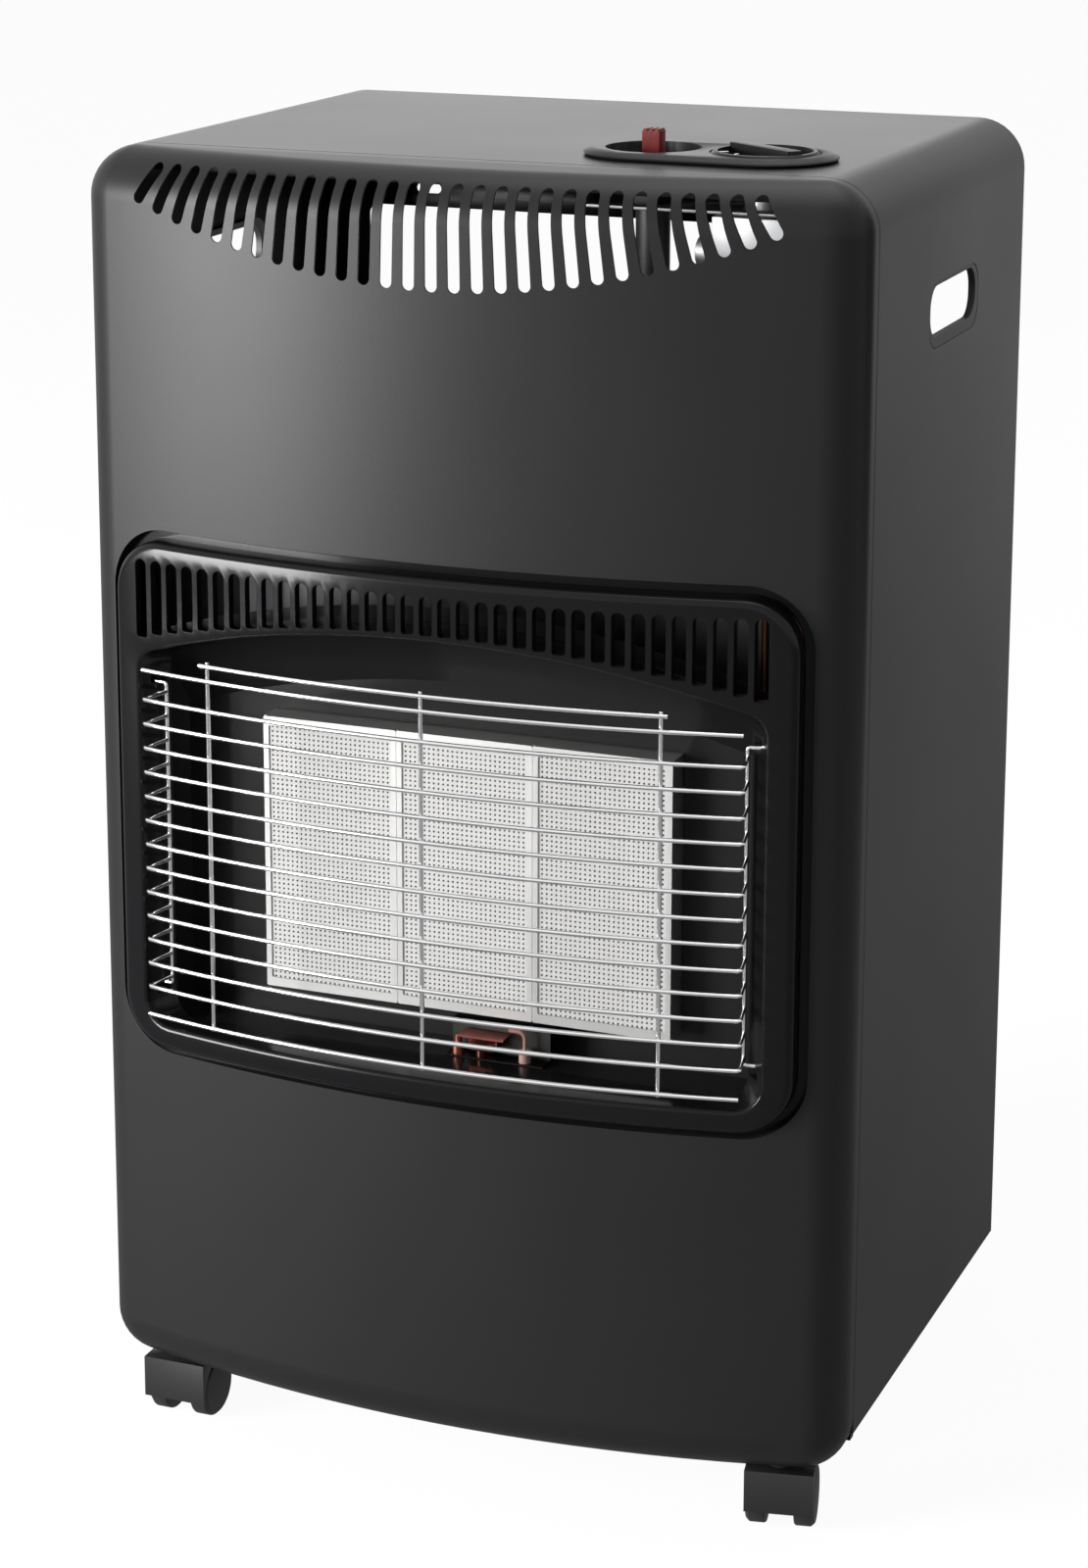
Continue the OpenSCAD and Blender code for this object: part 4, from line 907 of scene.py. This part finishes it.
# %% Node tree for a field of cells
cell_tree, given, output = geometry_tree(
    "cell_field", {"Width": ("NodeSocketFloat", 0.1), "Height": ("NodeSocketFloat", 0.1),
                   "Columns": ("NodeSocketInt", 4), "Rows": ("NodeSocketInt", 4),
                   "Place": ("NodeSocketVector", None), "Cell": ("NodeSocketObject", None),
                   "Finish": ("NodeSocketMaterial", None)})
field = cell_tree.nodes.new("GeometryNodeMeshGrid")
stand = cell_tree.nodes.new("GeometryNodeTransform")
stand.inputs["Rotation"].default_value = (math.radians(90), 0, 0)
cell_info = cell_tree.nodes.new("GeometryNodeObjectInfo")
spread = cell_tree.nodes.new("GeometryNodeInstanceOnPoints")
together = cell_tree.nodes.new("GeometryNodeJoinGeometry")
for key, socket in (("Width", "Size X"), ("Height", "Size Y"), ("Columns", "Vertices X"),
                    ("Rows", "Vertices Y")):
    cell_tree.links.new(given.outputs[key], field.inputs[socket])
cell_tree.links.new(field.outputs["Mesh"], stand.inputs["Geometry"])
cell_tree.links.new(given.outputs["Place"], stand.inputs["Translation"])
cell_tree.links.new(given.outputs["Cell"], cell_info.inputs["Object"])
cell_tree.links.new(stand.outputs[0], spread.inputs["Points"])
cell_tree.links.new(cell_info.outputs["Geometry"], spread.inputs["Instance"])
cell_tree.links.new(spread.outputs[0], together.inputs[0])
cell_tree.links.new(given.outputs["Geometry"], together.inputs[0])
close_tree(cell_tree, together.outputs[0], given, output)
print("tree", cell_tree.name, len(cell_tree.nodes), "nodes")

# %% One cell and the box behind it
HOLE_SIDES = 8
FACES_FRONT = -0.5


def hole_cell(wide, tall, radius, depth):
    """A square of plate with an eight-sided hole that ends in the dark."""
    draft = bmesh.new()
    rim, mouth, end = [], [], []
    for i in range(HOLE_SIDES):
        swing = math.radians(360 / HOLE_SIDES * i)
        c, s = math.cos(swing), math.sin(swing)
        grow = 1 / max(abs(c), abs(s))
        rim.append(draft.verts.new((c * grow * wide / 2, 0, s * grow * tall / 2)))
        mouth.append(draft.verts.new((c * radius, 0, s * radius)))
        end.append(draft.verts.new((c * radius, depth, s * radius)))
    for i in range(HOLE_SIDES):
        j = (i + 1) % HOLE_SIDES
        draft.faces.new((rim[i], rim[j], mouth[j], mouth[i]))
        draft.faces.new((mouth[i], mouth[j], end[j], end[i]))
    draft.faces.new(end)
    mesh = bpy.data.meshes.new("cell")
    draft.to_mesh(mesh)
    draft.free()
    return mesh


def open_box(low, high):
    """A box between two corners, without its front face."""
    draft = bmesh.new()
    bmesh.ops.create_cube(draft, size=1.0)
    for vertex in draft.verts:
        vertex.co = [low[i] + (vertex.co[i] + 0.5) * (high[i] - low[i]) for i in range(3)]
    front = [side for side in draft.faces if side.normal.y < FACES_FRONT]
    bmesh.ops.delete(draft, geom=front, context="FACES_ONLY")
    mesh = bpy.data.meshes.new("plate")
    draft.to_mesh(mesh)
    draft.free()
    return mesh


def welded(mesh, distance):
    """The mesh with points that lie together made one."""
    draft = bmesh.new()
    draft.from_mesh(mesh)
    bmesh.ops.remove_doubles(draft, verts=draft.verts, dist=distance)
    draft.to_mesh(mesh)
    draft.free()
    return mesh


# %% Plates
COLUMNS, TIERS = 28, 56
HOLE_RADIUS, HOLE_DEPTH = 0.62 * MM, 3 * MM
PLATE_WELD = 5e-6

for side in ("left", "centre", "right"):
    node = "ceramic_plate_" + side
    low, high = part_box(node)
    wide, tall = (high[0] - low[0]) / COLUMNS, (high[2] - low[2]) / TIERS
    cell = bpy.data.objects.new("cell", hole_cell(wide, tall, HOLE_RADIUS, HOLE_DEPTH))
    plate = node_modifier(open_box(low, high), cell_tree, Cell=cell, Columns=COLUMNS, Rows=TIERS,
                          Width=high[0] - low[0] - wide, Height=high[2] - low[2] - tall,
                          Place=((low[0] + high[0]) / 2, low[1], (low[2] + high[2]) / 2),
                          Finish=finishes["ceramic"])
    plate = welded(plate, PLATE_WELD)
    bpy.data.objects.remove(cell)
    show_piece(node + "_field", plate, slot_of[node], body_of[node], node)

# %% [markdown]
# ## Hand holds
# A moulded plastic rim lines the hole in each side, so that hands don't meet the cut sheet. Its foot
# is broader than its top. The same helper that skins the surround skins it, from six outlines of which
# each has a depth behind the side, an inset and a broader foot.

# %% Hand hold rims
# depth behind the side, inset and broader foot of each outline, in millimetres
RIM_SECTION = ((0.05, 1.8, 4.5), (0.05, 0.1, 0), (1.3, 0.1, 0), (1.3, -1.9, 0), (4.0, -1.9, 0),
               (4.0, 1.8, 4.5))
LINER_EDGE, RIM_CORNER = 2 * MM, 14 * MM
RIM_EASED_BY = 0.3 * MM

for side, node in ((-1, "handle_insert_left"), (1, "handle_insert_right")):
    low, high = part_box(node)
    middle_y, middle_z = (low[1] + high[1]) / 2, (low[2] + high[2]) / 2
    half_y, half_z = (high[1] - low[1]) / 2 - LINER_EDGE, (high[2] - low[2]) / 2 - LINER_EDGE
    draft, loops = bmesh.new(), []
    for depth, inset, foot_lip in RIM_SECTION:
        outline = round_frame(half_y - (inset + foot_lip / 2) * MM, (inset + foot_lip) * MM - half_z,
                              half_z - inset * MM, min(half_z, RIM_CORNER) - inset * MM)
        loops.append([Vector((side * (half_width - depth * MM), middle_y - foot_lip / 2 * MM + y,
                              middle_z + z)) for y, z in outline])
    skin_loops(draft, loops)
    rim = eased(as_mesh(draft, node), RIM_EASED_BY)
    show_piece(node + "_rim", rim, slot_of[node], body_of[node], node)

# %% [markdown]
# ## Knob marks
# Two white strokes on the knob's rim point at its settings. On the real knob they are printed. An image
# texture could do that, but two flat blocks that stand out by a hair need no unwrapping, and they turn
# with the knob.

# %% Strokes on the knob
STROKES = ((-142, 5), (-112, 2.6))  # turn in degrees, length in millimetres
BELOW_TOP = 2 * MM
STROKE_REACH, STROKE_WIDE, STROKE_THICK, STROKE_SUNK = 22.5 * MM, 1.3 * MM, 0.4 * MM, 0.05 * MM

low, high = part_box("control_knob")
knob = Vector(((low[0] + high[0]) / 2, (low[1] + high[1]) / 2, high[2] - BELOW_TOP))
draft = bmesh.new()
for swing, length in STROKES:
    bmesh.ops.create_cube(draft, size=1.0, matrix=(
        Matrix.Translation(knob) @ Matrix.Rotation(math.radians(swing), 4, "Z")
        @ Matrix.Translation((STROKE_REACH, 0, -STROKE_SUNK))
        @ Matrix.Diagonal((length * MM, STROKE_WIDE, STROKE_THICK, 1))))
show_piece("knob_marks", as_mesh(draft, "knob_marks"), "electrode_ceramic", body_of["control_knob"])

# %% [markdown]
# ## Every other part
# The small parts keep their solid's shape. Each gets clean smooth shading, and an eased edge as wide
# as its process leaves it: wide on mouldings, a hair on sheet metal, and none where it is hidden.

# %% Dress the rest
DRAWN_ABOVE = {"front_panel", "cabinet_shell", "burner_surround", "guard", "handle_insert_left",
               "handle_insert_right"}
# width of an eased edge, in millimetres
EASED_BY = {"control_panel": 0.5, "control_knob": 0.5, "ignition_button": 0.3, "rear_cover": 0.25,
            "base_plate": 0.2, "gas_valve": 0.6, "valve_bracket": 0.2, "pilot_bracket": 0.2,
            "caster_sockets": 0.4}
HOOD_EASED_BY, WHEEL_EASED_BY = 0.7, 0.4

for node in solids:
    if node in DRAWN_ABOVE or node.startswith("ceramic"):
        continue
    width = EASED_BY.get(node, 0)
    if node.endswith("_hood"):
        width = HOOD_EASED_BY
    elif "_wheel_" in node:
        width = WHEEL_EASED_BY
    show_piece(node + "_piece", eased(merged(node), width * MM), slot_of[node], body_of[node], node)
